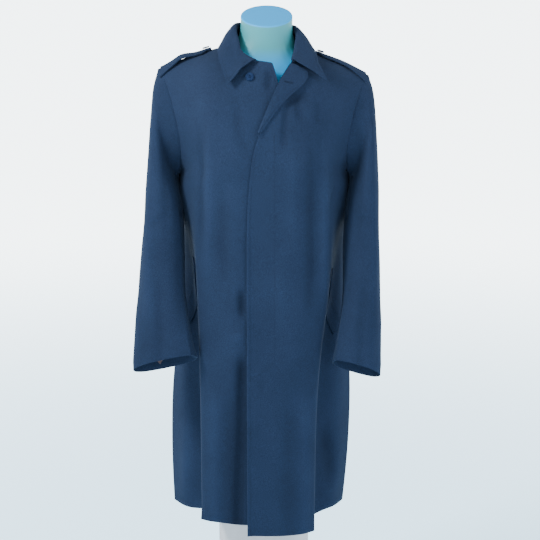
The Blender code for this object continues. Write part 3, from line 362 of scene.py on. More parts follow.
def add_cylinder(vertices, radius, depth, location):
    """A cylinder that stands upright."""
    bpy.ops.object.select_all(action="DESELECT")
    bpy.ops.mesh.primitive_cylinder_add(vertices=vertices, radius=radius, depth=depth, location=location)
    return bpy.context.object


def smooth_shading(obj, degrees):
    """Shade a piece smooth but for the edges sharper than an angle."""
    select_only(obj)
    bpy.ops.object.shade_smooth_by_angle(angle=math.radians(degrees))


# ---------------------------------------------------------------- cloth
def nudge(shape, name):
    """Shift the places where a piece's edge lies a little off its solid's."""
    for centre, shift, reach in NUDGES.get(name, ()):
        for vert in shape.verts:
            away = [(a - b) / c for a, b, c in zip(vert.co, centre, reach)]
            vert.co += Vector(shift) * math.exp(-sum(part * part for part in away))


def sides_of(shape):
    """The faces of a cloth solid, grouped where they turn gently: both its sides, and its rims."""
    sharp = math.cos(SIDE_TURN)
    sides, seen = [], set()
    for first in shape.faces:
        if first in seen:
            continue
        side, queue = [], [first]
        seen.add(first)
        while queue:
            face = queue.pop()
            side.append(face)
            for other in (other for edge in face.edges for other in edge.link_faces):
                if other not in seen and face.normal.dot(other.normal) > sharp:
                    seen.add(other)
                    queue.append(other)
        sides.append(side)
    return sides


def skin_of(name):
    """The skin of a cloth solid that shows, as an open sheet of quads."""
    shape = bmesh.new()
    shape.from_mesh(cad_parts[name].data)
    bmesh.ops.remove_doubles(shape, verts=shape.verts, dist=WELD)
    bmesh.ops.join_triangles(shape, faces=shape.faces, angle_face_threshold=SIDE_TURN,
                             angle_shape_threshold=math.radians(150))
    nudge(shape, name)
    shape.normal_update()
    outside = Vector(OUTSIDE[name])
    sides = sorted(sides_of(shape), key=lambda side: -sum(face.calc_area() for face in side))
    keep = set(min(sides[:2], key=lambda side: min((face.calc_center_median() - outside).length
                                                   for face in side)))
    bmesh.ops.delete(shape, geom=[face for face in shape.faces if face not in keep], context="FACES")
    return shape


def keep_corners(shape):
    """Hold the corners of a sheet's border while it is smoothed."""
    hold = shape.verts.layers.float.new("crease_vert")
    for vert in shape.verts:
        edges = [edge for edge in vert.link_edges if edge.is_boundary]
        if len(edges) == 2:
            first, second = (edge.other_vert(vert).co - vert.co for edge in edges)
            turn = math.pi - first.angle(second)
            vert[hold] = min(max((turn - CORNER_FROM) / CORNER_SPAN, 0.0), CORNER_HOLD)


def arm_centre(side, z):
    """Centre of a sleeve at a height."""
    line = ARM_LINE[side]
    for above, below in zip(line, line[1:]):
        if z >= below[2] or below == line[-1]:
            share = (above[2] - z) / (above[2] - below[2])
            return Vector(above).lerp(Vector(below), share)
    return Vector(line[-1])


def chart_body(point):
    """Place on the body's cloth: metres round from the centre front, and height."""
    return math.atan2(point.x, -point.y) * BODY_ROUND, point.z


def chart_back(point):
    """Place on the back's cloth: metres out from the centre back, and height."""
    return math.atan2(point.x, point.y) * BODY_ROUND, point.z


def chart_arm(side):
    """Place on a sleeve: metres round from its outer side over the front, and height."""
    def chart(point):
        centre = arm_centre(side, point.z)
        out = (point.x - centre.x) * (1 if side == "left" else -1)
        turn = math.atan2(-(point.y - centre.y), out)
        return turn * ARM_ROUND, point.z
    return chart


def chart_plain(point):
    """Place on a small piece: across and up, as seen from the front."""
    return point.x, point.z


def chart_of(name):
    """The chart that a piece's creases and weave are drawn in."""
    if name.startswith("sleeve"):
        return chart_arm("right" if "right" in name else "left")
    if name == "back":
        return chart_back
    if name.startswith(("front", "pocket")):
        return chart_body
    return chart_plain


def along_line(line, place):
    """Distance from a chart place to a line in the chart, and how far along that is."""
    best, where = None, 0.0
    total = sum(math.dist(a, b) for a, b in zip(line, line[1:])) or 1.0
    gone = 0.0
    for start, end in zip(line, line[1:]):
        dx, dz = end[0] - start[0], end[1] - start[1]
        span = dx * dx + dz * dz
        share = min(max(((place[0] - start[0]) * dx + (place[1] - start[1]) * dz) / span, 0.0), 1.0)
        away = math.hypot(place[0] - start[0] - dx * share, place[1] - start[1] - dz * share)
        if best is None or away < best:
            best, where = away, (gone + share * math.sqrt(span)) / total
        gone += math.sqrt(span)
    return best, where


def crease_box(crease):
    """The part of the chart that a crease acts in."""
    xs, zs = zip(*crease.line)
    reach = crease.width * CREASE_REACH
    return min(xs) - reach, max(xs) + reach, min(zs) - reach, max(zs) + reach


def fold_at(crease, place):
    """How far a crease pushes the cloth at a chart place."""
    away, where = along_line(crease.line, place)
    swell = math.exp(-(away / crease.width) ** 2)
    ends = min(where / crease.fade, (1 - where) / crease.fade, 1.0)
    ends = ends * ends * (3 - 2 * ends) if where not in (0.0, 1.0) else 0.0
    if crease.open_end and where > 0.5:
        ends = 1.0
    return crease.depth * swell * ends


def swell_at(point):
    """How far the fullness under the arms pushes the cloth at a point."""
    push = 0.0
    for centre, depth, radius, reach in SWELLS:
        away = point - Vector(centre)
        push += depth * math.exp(-(away.xy.length / radius) ** 2 - (away.z / reach) ** 2)
    return push


def border_of_mesh(mesh):
    """The vertices on the open border of a sheet."""
    uses = Counter(key for polygon in mesh.polygons for key in polygon.edge_keys)
    return {index for key, count in uses.items() if count == 1 for index in key}


def hang_creases(obj, creases, chart, uneven):
    """Push the sheet in and out along its creases, and a little at random."""
    mesh = obj.data
    normals = [vertex.normal.copy() for vertex in mesh.vertices]
    border = border_of_mesh(mesh)
    boxes = [crease_box(crease) for crease in creases]
    painted_fold_shade_depths = []
    for vertex, normal in zip(mesh.vertices, normals):
        x, z = chart(vertex.co)
        push = edge_push = 0.0
        for crease, (left, right, low, high) in zip(creases, boxes):
            if left < x < right and low < z < high:
                fold = fold_at(crease, (x, z))
                push += fold
                edge_push += fold if crease.edge else 0.0
        painted_fold_shade_depths.append(push)
        push += swell_at(vertex.co)
        push += uneven * sum(share * noise.noise(vertex.co * cells) for share, cells in WAVES)
        if vertex.index in border:
            push = lerp(edge_push, push, BORDER_SHARE)
        vertex.co += normal * push
    # The creases' pushes are kept as the fold attribute, which the wool turns into painted shade in troughs
    # and painted light on ridges.
    mesh.attributes.new("fold", "FLOAT", "POINT").data.foreach_set("value", painted_fold_shade_depths)


def close_seams(obj, seam):
    """Draw the border of a sheet up to the sheets that it is sewn to."""
    mesh = obj.data
    for index in border_of_mesh(mesh):
        vertex = mesh.vertices[index]
        reach = seam.high_reach if vertex.co.z > ARMPIT_Z else SEAM_REACH
        hits = [SKINS[name].find_nearest(vertex.co, reach) for name in seam.sewn_to]
        hits = [hit for hit in hits if hit[0] is not None]
        if hits:
            near = min(hits, key=lambda hit: hit[3])
            if near[3] > SEAM_LEFT:
                vertex.co += (near[0] - vertex.co) * (1 - SEAM_LEFT / near[3])


def write_cloth_map(obj, chart):
    """A UV map in metres along the cloth, for the weave."""
    layer = obj.data.uv_layers.new(name="cloth")
    places = [chart(vertex.co) for vertex in obj.data.vertices]
    for loop in obj.data.loops:
        layer.data[loop.index].uv = places[loop.vertex_index]


def cloth_piece(name, wall, levels, uneven):
    """A cloth piece from its solid's skin: smoothed, creased and given its wall."""
    shape = skin_of(name)
    keep_corners(shape)
    obj = new_piece(name + "_cloth", shape)
    smoothen(obj, levels).boundary_smooth = "PRESERVE_CORNERS"
    apply_all(obj)
    chart = chart_of(name)
    hang_creases(obj, CREASES.get(name, ()), chart, uneven)
    if name in SEAMS:
        close_seams(obj, SEAMS[name])
    write_cloth_map(obj, chart)
    skin = surface_of(obj)
    shell = obj.modifiers.new("wall", "SOLIDIFY")
    shell.thickness = wall
    shell.offset = -1.0
    shell.use_even_offset = True
    shell.use_quality_normals = True
    round_edges(obj, wall * 0.18, 2, 55)
    apply_all(obj)
    obj.data.shade_smooth()
    return obj, skin


def sew(name, material="wool", levels=3, uneven=UNEVEN):
    """Make one cloth piece that stands for its solid."""
    cut = CUTS[name]
    obj, SKINS[name] = cloth_piece(name, cut.wall, levels, uneven)
    finish_piece(obj, finish(material), material, name)


# ---------------------------------------------------------------- stitches
def surface_of(obj):
    """A search tree of a mesh as it stands."""
    mesh = obj.data
    corners = [vertex.co.copy() for vertex in mesh.vertices]
    return BVHTree.FromPolygons(corners, [tuple(polygon.vertices) for polygon in mesh.polygons])


def border_of(name):
    """The corner-to-corner border points of a cloth solid's skin, with the way inwards."""
    shape = skin_of(name)
    edges = [edge for edge in shape.edges if edge.is_boundary]
    start = edges[0].verts[0]
    loop, vert, used = [], start, set()
    while True:
        step = next((e for e in vert.link_edges if e.is_boundary and e not in used), None)
        if step is None:
            break
        used.add(step)
        loop.append(vert)
        vert = step.other_vert(vert)
        if vert == start:
            break
    found = []
    for vert in loop:
        middle = sum((f.calc_center_median() for f in vert.link_faces), Vector()) / len(vert.link_faces)
        normal = sum((f.normal for f in vert.link_faces), Vector()).normalized()
        found.append((vert.co.copy(), middle - vert.co, normal))
    shape.free()
    return found


def inset_path(name, keep, inset, lift):
    """A line on the cloth a little way in from the part of its border that is kept."""
    border = border_of(name)
    count = len(border)
    kept = [keep(point) for point, _, _ in border]
    if all(kept):
        run = list(range(count)) + [0]
    else:
        starts = [i for i in range(count) if kept[i] and not kept[i - 1]]
        runs = []
        for start in starts:
            run = [start]
            while kept[(run[-1] + 1) % count]:
                run.append((run[-1] + 1) % count)
            runs.append(run)
        run = max(runs, key=len)
    path = []
    for i in run:
        point, inward, normal = border[i]
        along = (border[(i + 1) % count][0] - border[i - 1][0]).normalized()
        inward = (inward - along * inward.dot(along)).normalized()
        near, facing, _, _ = SKINS[name].find_nearest(point + inward * inset)
        facing = facing if facing.dot(normal) > 0 else -facing
        path.append((near + facing * lift, facing))
    return path


# Rings along one stitch: how far along, thickness as a share, and height over the cloth in radii.
STITCH_RINGS = ((0.0, 0.45, -0.5), (0.22, 1.0, 0.15), (0.78, 1.0, 0.15), (1.0, 0.45, -0.5))


def thread_row(shape, path, length, gap, radius):
    """Sew a row of stitches along a path of points and surface normals."""
    gone, points = 0.0, []
    for (start, up_a), (end, up_b) in zip(path, path[1:]):
        span = (end - start).length
        points.append((gone, start, up_a))
        gone += span
    points.append((gone, path[-1][0], path[-1][1]))

    def read(where):
        for (low, start, up_a), (high, end, up_b) in zip(points, points[1:]):
            if where <= high:
                share = (where - low) / max(high - low, 1e-9)
                return start.lerp(end, share), up_a.lerp(up_b, share).normalized()
        return points[-1][1], points[-1][2]

    count = max(int(gone / (length + gap)), 1)
    for i in range(count):
        begin = (length + gap) * i + gap / 2
        (a, up), (b, _) = read(begin), read(begin + length)
        way = (b - a).normalized()
        side = way.cross(up).normalized()
        up = side.cross(way)
        rings = []
        for share, size, height in STITCH_RINGS:
            centre = a.lerp(b, share) + up * radius * height
            rings.append([shape.verts.new(centre + (side * math.cos(t) + up * math.sin(t)) * radius * size)
                          for t in (math.radians(90 * k + 45) for k in range(4))])
        for low, high in zip(rings, rings[1:]):
            for k in range(4):
                shape.faces.new((low[k], high[k], high[(k + 1) % 4], low[(k + 1) % 4]))
        shape.faces.new(rings[0])
        shape.faces.new(rings[-1][::-1])


def surface_path(skin, places, lift, side=-1):
    """A line laid on the cloth from places across and up, seen from the front or back."""
    path = []
    for x, z in places:
        hit, facing, _, _ = skin.ray_cast(Vector((x, side * 1.0, z)), Vector((0.0, -side, 0.0)))
        if hit is None:
            continue
        facing = facing if facing.y * side > 0 else -facing
        path.append((hit + facing * lift, facing))
    return path


def dense(places, step=0.010):
    """A chart line with more places on it."""
    made = []
    for start, end in zip(places, places[1:]):
        count = max(int(math.dist(start, end) / step), 1)
        made += [tuple(lerp(a, b, k / count) for a, b in zip(start, end)) for k in range(count)]
    return made + [places[-1]]


# ---------------------------------------------------------------- sizes and colours
class CoatLooks(bpy.types.PropertyGroup):
    """Sizes and colours of the coat that a user would change."""
    wool_hex: bpy.props.StringProperty(
        name="Wool", description="Colour of the wool, sRGB hex", default="#141c2b")
    fleck_hex: bpy.props.StringProperty(
        name="Wool fleck", description="Lighter fibres in the wool", default="#1b263a")
    # The thread's colour also holds painted shade: it is darker than the cloth for the hollow the stitches
    # sit in.
    thread_and_hollow_shade_hex: bpy.props.StringProperty(
        name="Thread", description="Colour of the sewing thread", default="#0c1524")
    lining_hex: bpy.props.StringProperty(
        name="Lining", description="Colour of the satin lining", default="#3c2f31")
    button_hex: bpy.props.StringProperty(
        name="Button", description="Colour of the buttons", default="#18233a")
    form_hex: bpy.props.StringProperty(
        name="Form", description="Colour of the form's neck", default="#306e74")
    # The cap's colour is painted bluer than the neck, as painted light from the sky above.
    cap_sky_light_hex: bpy.props.StringProperty(
        name="Form cap", description="Colour of the neck cap", default="#1279ab")
    pedestal_hex: bpy.props.StringProperty(
        name="Pedestal", description="Colour of the pedestal", default="#a5a2a4")
    stitch: bpy.props.FloatProperty(
        name="Stitch", description="Length of a stitch", default=0.0032,
        unit="LENGTH", subtype="DISTANCE")
    stitch_gap: bpy.props.FloatProperty(
        name="Stitch gap", description="Gap between stitches", default=0.0012,
        unit="LENGTH", subtype="DISTANCE")
    thread_radius: bpy.props.FloatProperty(
        name="Thread radius", description="Half the thread's thickness", default=0.00032,
        unit="LENGTH", subtype="DISTANCE")
    edge_inset: bpy.props.FloatProperty(
        name="Topstitch inset", description="From an edge to its topstitching", default=0.0065,
        unit="LENGTH", subtype="DISTANCE")


def looks():
    """The scene's own looks of the coat."""
    return bpy.context.scene.coat_looks


# ---------------------------------------------------------------- finishes
def new_material(name):
    """An empty material, its tree, and the piece's own coordinates."""
    made = bpy.data.materials.new(name)
    made.use_nodes = True
    made.node_tree.nodes.clear()
    place = add_node(made.node_tree, "ShaderNodeTexCoord")
    return made, made.node_tree, place.outputs["Object"]


def grain(tree, place, scale, **more):
    """Noise with a number of cells a metre."""
    made = add_node(tree, "ShaderNodeTexNoise", None, {"Vector": place, "Scale": scale, **more})
    return made.outputs["Fac"]


def spread(tree, value, low, high, to_low=0.0, to_high=1.0, kind="LINEAR"):
    """A value that runs from one range to another."""
    made = add_node(tree, "ShaderNodeMapRange", {"interpolation_type": kind},
                    {"Value": value, "From Min": low, "From Max": high, "To Min": to_low, "To Max": to_high})
    return made.outputs["Result"]


def work_out(tree, operation, *values):
    """A sum, product or other result of values."""
    made = add_node(tree, "ShaderNodeMath", {"operation": operation}, dict(enumerate(values)))
    return made.outputs[0]


def blend(tree, share, first, second):
    """A blend of two colours; sockets 6 and 7 are the mix node's two colours, output 2 its result."""
    made = add_node(tree, "ShaderNodeMix", {"data_type": "RGBA"}, {"Factor": share, 6: first, 7: second})
    return made.outputs[2]


def toned(tree, colour, value):
    """A colour made darker or lighter."""
    made = add_node(tree, "ShaderNodeHueSaturation", None, {"Color": colour, "Value": value})
    return made.outputs["Color"]


def relief(tree, height, strength, distance):
    """A surface with fine relief, its distance in metres."""
    made = add_node(tree, "ShaderNodeBump", None,
                    {"Height": height, "Strength": strength, "Distance": distance})
    return made.outputs["Normal"]


def surface(tree, **inputs):
    """The shader of a finish and its output; a socket's spaces are written as underscores."""
    shader = add_node(tree, "ShaderNodeBsdfPrincipled", None,
                      {name.replace("_", " "): value for name, value in inputs.items()})
    add_node(tree, "ShaderNodeOutputMaterial", None, {"Surface": shader.outputs["BSDF"]})


def wool_finish():
    """Milled wool twill."""
    # Wool twill, woven and lightly milled: matt, with a soft bloom of fibres at grazing light.
    made, tree, place = new_material("wool twill")
    cloth = add_node(tree, "ShaderNodeUVMap", {"uv_map": "cloth"})
    # Twill lines are 0.7 mm apart on the cloth, drawn 2.4 mm apart so that they show.
    twill = add_node(tree, "ShaderNodeTexWave", {"wave_type": "BANDS", "bands_direction": "DIAGONAL"},
                     {"Vector": cloth.outputs["UV"], "Scale": 262.0, "Distortion": 0.6, "Detail": 2.0,
                      "Detail Scale": 3.0})
    # Melange of fibres, 1.6 mm, and a slow drift of the shade over the cloth, 120 mm.
    fibre = grain(tree, place, 620.0, Detail=3.0, Roughness=0.7)
    drift = grain(tree, place, 8.0, Detail=3.0, Roughness=0.55)
    melange = blend(tree, spread(tree, fibre, 0.40, 0.62), linear(looks().wool_hex),
                    linear(looks().fleck_hex))
    # Painted shade darkens the cloth in a fold's trough and painted light pales it along its ridge, from the
    # fold depths of the creases.
    fold = add_node(tree, "ShaderNodeAttribute", {"attribute_name": "fold"}).outputs["Fac"]
    drift_and_painted_fold_shade = work_out(tree, "MULTIPLY", spread(tree, drift, 0.30, 0.70, 0.90, 1.10),
                    spread(tree, fold, -0.008, 0.008, 0.58, 1.30))
    weave = work_out(tree, "MULTIPLY_ADD", twill.outputs["Fac"], 0.45, fibre)
    surface(tree, Base_Color=toned(tree, melange, drift_and_painted_fold_shade), Normal=relief(tree, weave, 0.55, 0.0004),
            Roughness=0.86, Specular_IOR_Level=0.03, Sheen_Weight=0.06, Sheen_Roughness=0.45,
            Sheen_Tint=linear("#8fa9cc"))
    return made


def thread_finish():
    """Spun polyester sewing thread."""
    # Spun polyester, twisted: a dull navy thread, its colour painted darker than the cloth as painted shade
    # of the hollow it sits in.
    made, tree, place = new_material("spun polyester thread")
    surface(tree, Base_Color=linear(looks().thread_and_hollow_shade_hex), Roughness=0.8, Specular_IOR_Level=0.1,
            Normal=relief(tree, grain(tree, place, 1500.0), 0.5, 0.0001))
    return made


def lining_finish():
    """Viscose satin lining."""
    # Viscose satin: smooth floats of thread that catch a broad soft light.
    made, tree, place = new_material("viscose satin lining")
    surface(tree, Base_Color=linear(looks().lining_hex), Roughness=0.46, Specular_IOR_Level=0.15,
            Normal=relief(tree, grain(tree, place, 55.0, Detail=3.0), 0.5, 0.0015))
    return made


def button_finish():
    """Cast polyester button, dyed navy."""
    # Cast polyester, worn dull: clouded colour without gloss, IOR of polyester 1.56.
    made, tree, place = new_material("cast polyester button")
    cloud = grain(tree, place, 260.0, Detail=3.0, Distortion=1.2)
    surface(tree, Base_Color=blend(tree, spread(tree, cloud, 0.38, 0.64), linear("#101a2c"),
                                   linear(looks().button_hex)),
            Roughness=0.46, IOR=1.56, Specular_IOR_Level=0.0)
    return made


def form_finish():
    """Glass-fibre form, sprayed aqua."""
    # Glass-fibre shell, sprayed satin aqua. The cap is painted bluer, as painted light from the sky above
    # its top, and the colour turns bluer low in the neck too.
    made, tree, place = new_material("sprayed glass fibre")
    apart = add_node(tree, "ShaderNodeSeparateXYZ", None, {"Vector": place})
    # The cap slants down to the front.
    slant = work_out(tree, "MULTIPLY_ADD", apart.outputs["Y"], -0.38, apart.outputs["Z"])
    # Mask of the cap, where the painted sky light goes.
    cap = spread(tree, slant, 1.5575, 1.5610, kind="SMOOTHSTEP")
    low = spread(tree, apart.outputs["Z"], 1.500, 1.452, kind="SMOOTHSTEP")
    surface(tree, Base_Color=blend(tree, work_out(tree, "MAXIMUM", cap, low), linear(looks().form_hex),
                                   linear(looks().cap_sky_light_hex)),
            Roughness=0.50, Specular_IOR_Level=0.15,
            Normal=relief(tree, grain(tree, place, 90.0, Detail=2.0), 0.25, 0.0006))
    return made


def pedestal_finish():
    """Painted plaster pedestal."""
    # Cast plaster under matt off-white paint: faint brush mottling.
    made, tree, place = new_material("painted plaster")
    mottle = grain(tree, place, 22.0, Detail=5.0)
    paint = toned(tree, linear(looks().pedestal_hex), spread(tree, mottle, 0.3, 0.7, 0.94, 1.04))
    surface(tree, Base_Color=paint, Roughness=0.75, Normal=relief(tree, mottle, 0.3, 0.001))
    return made


FINISH_MAKERS = {"wool": wool_finish, "thread": thread_finish, "lining": lining_finish,
                 "button": button_finish, "form": form_finish, "pedestal": pedestal_finish}
FINISHES = {}


def finish(name):
    """A finish, made once and then shared."""
    if name not in FINISHES:
        FINISHES[name] = FINISH_MAKERS[name]()
    return FINISHES[name]


# ---------------------------------------------------------------- pieces, one operator each
def body_levels():
    """How finely the large pieces are smoothed."""
    return 3


class COAT_OT_fronts(bpy.types.Operator):
    """Sew both fronts of the coat"""
    bl_idname = "coat.fronts"
    bl_label = "Fronts"

    def execute(self, context):
        sew("front_right", levels=body_levels())
        sew("front_left", levels=body_levels())
        return {"FINISHED"}


class COAT_OT_back(bpy.types.Operator):
    """Sew the back of the coat"""
    bl_idname = "coat.back"
    bl_label = "Back"

    def execute(self, context):
        sew("back", levels=body_levels())
        return {"FINISHED"}


class COAT_OT_sleeves(bpy.types.Operator):
    """Sew the two pieces of each sleeve"""
    bl_idname = "coat.sleeves"
    bl_label = "Sleeves"

    def execute(self, context):
        for side in ("right", "left"):
            sew("sleeve_%s_upper" % side)
            sew("sleeve_%s_under" % side)
        return {"FINISHED"}


class COAT_OT_lining(bpy.types.Operator):
    """Line the right cuff with satin"""
    bl_idname = "coat.lining"
    bl_label = "Cuff lining"

    def execute(self, context):
        sew("sleeve_lining_right", "lining", levels=2, uneven=0.0010)
        return {"FINISHED"}


class COAT_OT_collar(bpy.types.Operator):
    """Make the collar, with its rolled edge"""
    bl_idname = "coat.collar"
    bl_label = "Collar"

    def execute(self, context):
        sew("collar")
        return {"FINISHED"}


class COAT_OT_turned_corner(bpy.types.Operator):
    """Turn the left front's top corner back"""
    bl_idname = "coat.turned_corner"
    bl_label = "Turned corner"

    def execute(self, context):
        sew("turned_corner")
        return {"FINISHED"}


class COAT_OT_trims(bpy.types.Operator):
    """Make the epaulettes and the pocket welts"""
    bl_idname = "coat.trims"
    bl_label = "Epaulettes and welts"

    def execute(self, context):
        for side in ("right", "left"):
            sew("epaulette_" + side)
            sew("pocket_welt_" + side)
        return {"FINISHED"}


# Which part of a piece's border is topstitched, and how far in, as a share of the usual inset.
STITCHED = {
    "front_left": (1.0, lambda p: p.x < -0.010 and p.y < -0.12),
    "front_right": (1.0, lambda p: p.x > 0.012 and p.y < -0.09 and p.z > 0.41),
    "collar": (1.0, lambda p: along_line(COLLAR_FOOT, (p.x, p.y))[0] > 0.0085),
    "turned_corner": (0.8, lambda p: along_line(TURN_LINE, (p.x, p.z))[0] > 0.0060),
    "epaulette_left": (0.7, lambda p: p.x < 0.228),
    "pocket_welt_left": (0.8, lambda p: True),
    "epaulette_right": (0.7, lambda p: p.x > -0.228),
    "pocket_welt_right": (0.8, lambda p: True),
}


class COAT_OT_topstitching(bpy.types.Operator):
    """Sew the topstitching of the edges, the fly and the small pieces"""
    bl_idname = "coat.topstitching"
    bl_label = "Topstitching"

    def execute(self, context):
        lift = looks().thread_radius * 0.35
        paths = {name: inset_path(name, keep, looks().edge_inset * share, lift)
                 for name, (share, keep) in STITCHED.items()}
        paths["fly"] = surface_path(SKINS["front_left"], dense(FLY_LINE), lift)
        for name, path in paths.items():
            if len(path) < 2:
                raise RuntimeError("no line of stitches on " + name)
            shape = bmesh.new()
            thread_row(shape, path, looks().stitch, looks().stitch_gap, looks().thread_radius)
            obj = new_piece("topstitching_" + name, shape)
            finish_piece(obj, finish("thread"), "wool")
        return {"FINISHED"}


class COAT_OT_buttonhole(bpy.types.Operator):
    """Work the buttonhole in the turned-back corner"""
    bl_idname = "coat.buttonhole"
    bl_label = "Buttonhole"

    def execute(self, context):
        skin = SKINS["turned_corner"]
        (x0, z0), (x1, z1) = BUTTONHOLE
        radius = looks().thread_radius
        shape = bmesh.new()
        count = 24
        length = math.hypot(x1 - x0, z1 - z0)
        across = (-(z1 - z0) / length, (x1 - x0) / length)
        for k in range(count + 1):
            x, z = lerp(x0, x1, k / count), lerp(z0, z1, k / count)
            for way in (-1, 1):
                near, far = 0.00035 * way, 0.0021 * way
                bar = [(x + across[0] * d, z + across[1] * d) for d in (near, far)]
                path = surface_path(skin, bar, radius * 0.5)
                if len(path) == 2:
                    thread_row(shape, path, 0.00165, 0.0001, radius * 1.15)
        obj = new_piece("buttonhole_stitches", shape)
        finish_piece(obj, finish("thread"), "wool")
        return {"FINISHED"}


# Buttons: the radius of each, their height, how far they stand off the cloth, and the parts of
# a button as shares of its radius and height.
BUTTON_RADIUS = {"button_neck": 0.0093, "button_epaulette_left": 0.0078, "button_epaulette_right": 0.0078}
BUTTON_HOME = {"button_neck": "front_right", "button_epaulette_left": "epaulette_left",
               "button_epaulette_right": "epaulette_right"}
BUTTON_HEIGHT = 0.0030
BUTTON_OFF = 0.0008
RIM_WIDTH, SLOPE_WIDTH, DISH_WIDTH, DISH_DEPTH = 0.16, 0.10, 0.20, 0.30
HOLE_RADIUS, HOLE_PLACE = 0.105, 0.26


def model_button(name, radius, height):
    """A sew-through button: turned rim, dished middle and four holes, standing on z = 0."""
    obj = add_cylinder(48, radius, height, (0, 0, height / 2))
    obj.name = name
    bpy.ops.object.transform_apply(location=True, rotation=True, scale=True)
    bpy.ops.object.mode_set(mode="EDIT")
    shape = bmesh.from_edit_mesh(obj.data)
    for face in shape.faces:
        face.select = face.normal.z > 0.9
    shape.select_flush_mode()
    bmesh.update_edit_mesh(obj.data)
    bpy.ops.mesh.inset(thickness=radius * RIM_WIDTH)
    bpy.ops.mesh.inset(thickness=radius * SLOPE_WIDTH, depth=-height * DISH_DEPTH)
    bpy.ops.mesh.inset(thickness=radius * DISH_WIDTH)
    bpy.ops.object.mode_set(mode="OBJECT")
    round_edges(obj, height * 0.16, 3, 25)
    apply_all(obj)
    holes = []
    for k in range(4):
        turn = math.radians(45 + 90 * k)
        place = (math.cos(turn) * radius * HOLE_PLACE, math.sin(turn) * radius * HOLE_PLACE, height / 2)
        holes.append(add_cylinder(16, radius * HOLE_RADIUS, height * 3, place))
    combine(obj, "DIFFERENCE", holes)
    smooth_shading(obj, 30)
    return obj


def place_mesh(obj, centre, normal, up):
    """Stand a mesh modelled at the origin on a place of the cloth."""
    forward = normal.normalized()
    side = up.cross(forward).normalized()
    upright = forward.cross(side)
    for vertex in obj.data.vertices:
        x, y, z = vertex.co
        vertex.co = centre + side * x + upright * y + forward * z


def button_thread(name, centre, normal, up, radius, height):
    """The crossed thread that holds a button."""
    forward = normal.normalized()
    side = up.cross(forward).normalized()
    upright = forward.cross(side)
    shape = bmesh.new()
    thick = looks().thread_radius * 1.3
    for sign in (-1, 1):
        for offset in (-0.5, 0.5):
            ends = []
            for way in (-1, 1):
                across = (side * way + upright * way * sign) * radius * 0.20
                ends.append(centre + across + (side - upright * sign) * offset * thick * 1.6
                            + forward * (height * 0.72 + (thick if sign > 0 else 0.0)))
            thread_row(shape, [(ends[0], forward), (ends[1], forward)],
                       (ends[1] - ends[0]).length * 0.98, 0.00001, thick)
    obj = new_piece(name, shape)
    finish_piece(obj, finish("thread"), "wool")


class COAT_OT_buttons(bpy.types.Operator):
    """Turn the buttons and sew them on"""
    bl_idname = "coat.buttons"
    bl_label = "Buttons"

    def execute(self, context):
        for name, radius in BUTTON_RADIUS.items():
            low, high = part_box(name)
            centre = (low + high) / 2
            near, facing, _, _ = SKINS[BUTTON_HOME[name]].find_nearest(centre)
            facing = facing if facing.dot(centre - near) > 0 else -facing
            up = Vector((0.25, 0.0, 1.0)) if name == "button_neck" else Vector((0.0, 1.0, 0.0))
            obj = model_button(name + "_turned", radius, BUTTON_HEIGHT)
            seat = near + facing * BUTTON_OFF
            place_mesh(obj, seat, facing, up)
            finish_piece(obj, finish("button"), "button", name)
            button_thread(name + "_thread", seat, facing, up, radius, BUTTON_HEIGHT)
        return {"FINISHED"}


class COAT_OT_dress_form(bpy.types.Operator):
    """Smooth the limbless form and round the edge of its neck cap"""
    bl_idname = "coat.dress_form"
    bl_label = "Dress form"

    def execute(self, context):
        shape = bmesh.new()
        shape.from_mesh(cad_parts["dress_form"].data)
        bmesh.ops.remove_doubles(shape, verts=shape.verts, dist=WELD)
        bmesh.ops.dissolve_limit(shape, angle_limit=math.radians(0.5), verts=shape.verts, edges=shape.edges)
        obj = new_piece("dress_form_smooth", shape)
        round_edges(obj, 0.0030, 3, 50)
        smoothen(obj, 2)
        apply_all(obj)
        obj.data.shade_smooth()
        finish_piece(obj, finish("form"), "form", "dress_form")
        return {"FINISHED"}


# The pedestal's column and the thickness of its foot plate.
COLUMN_RADIUS = 0.108
PLATE_HEIGHT = 0.018


class COAT_OT_pedestal(bpy.types.Operator):
    """Turn the round pedestal: foot plate and column"""
    bl_idname = "coat.pedestal"
    bl_label = "Pedestal"

    def execute(self, context):
        _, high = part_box("pedestal")
        # The column starts half way up the plate, so that the two meet inside it.
        shaft = add_cylinder(96, COLUMN_RADIUS, high.z - PLATE_HEIGHT / 2,
                             (0, 0, high.z / 2 + PLATE_HEIGHT / 4))
        obj = add_cylinder(96, high.x, PLATE_HEIGHT, (0, 0, PLATE_HEIGHT / 2))
        obj.name = "pedestal_turned"
        bpy.ops.object.transform_apply(location=True, rotation=True, scale=True)
        combine(obj, "UNION", [shaft])
        round_edges(obj, 0.005, 4, 50)
        apply_all(obj)
        smooth_shading(obj, 40)
        finish_piece(obj, finish("pedestal"), "pedestal", "pedestal")
        return {"FINISHED"}


# ---------------------------------------------------------------- stage
# Light that the paper gives off by itself, as on a light table: near the object and far behind it.
FLOOR_NEAR = 1.7
FLOOR_FAR = 4.8
# Strength of the sky at the horizon and overhead.
SKY_LOW = 4.20
SKY_HIGH = 1.00
Light = namedtuple("Light", "name place aim size power colour")
LIGHTS = (
    Light("key", (-1.55, -1.05, 2.60), (0.0, 0.0, 1.40), 0.5, 118.0, "#fbfdff"),
    Light("fill", (2.0, -1.30, 2.40), (0.0, 0.0, 1.35), 1.4, 46.0, "#e9efff"),
)
CAMERA_PLACE = (0.0152, -3.0, 1.6312)
CAMERA_DOWN = 0.2132
CAMERA_LENS = 87.87
CAMERA_SENSOR = 36.0


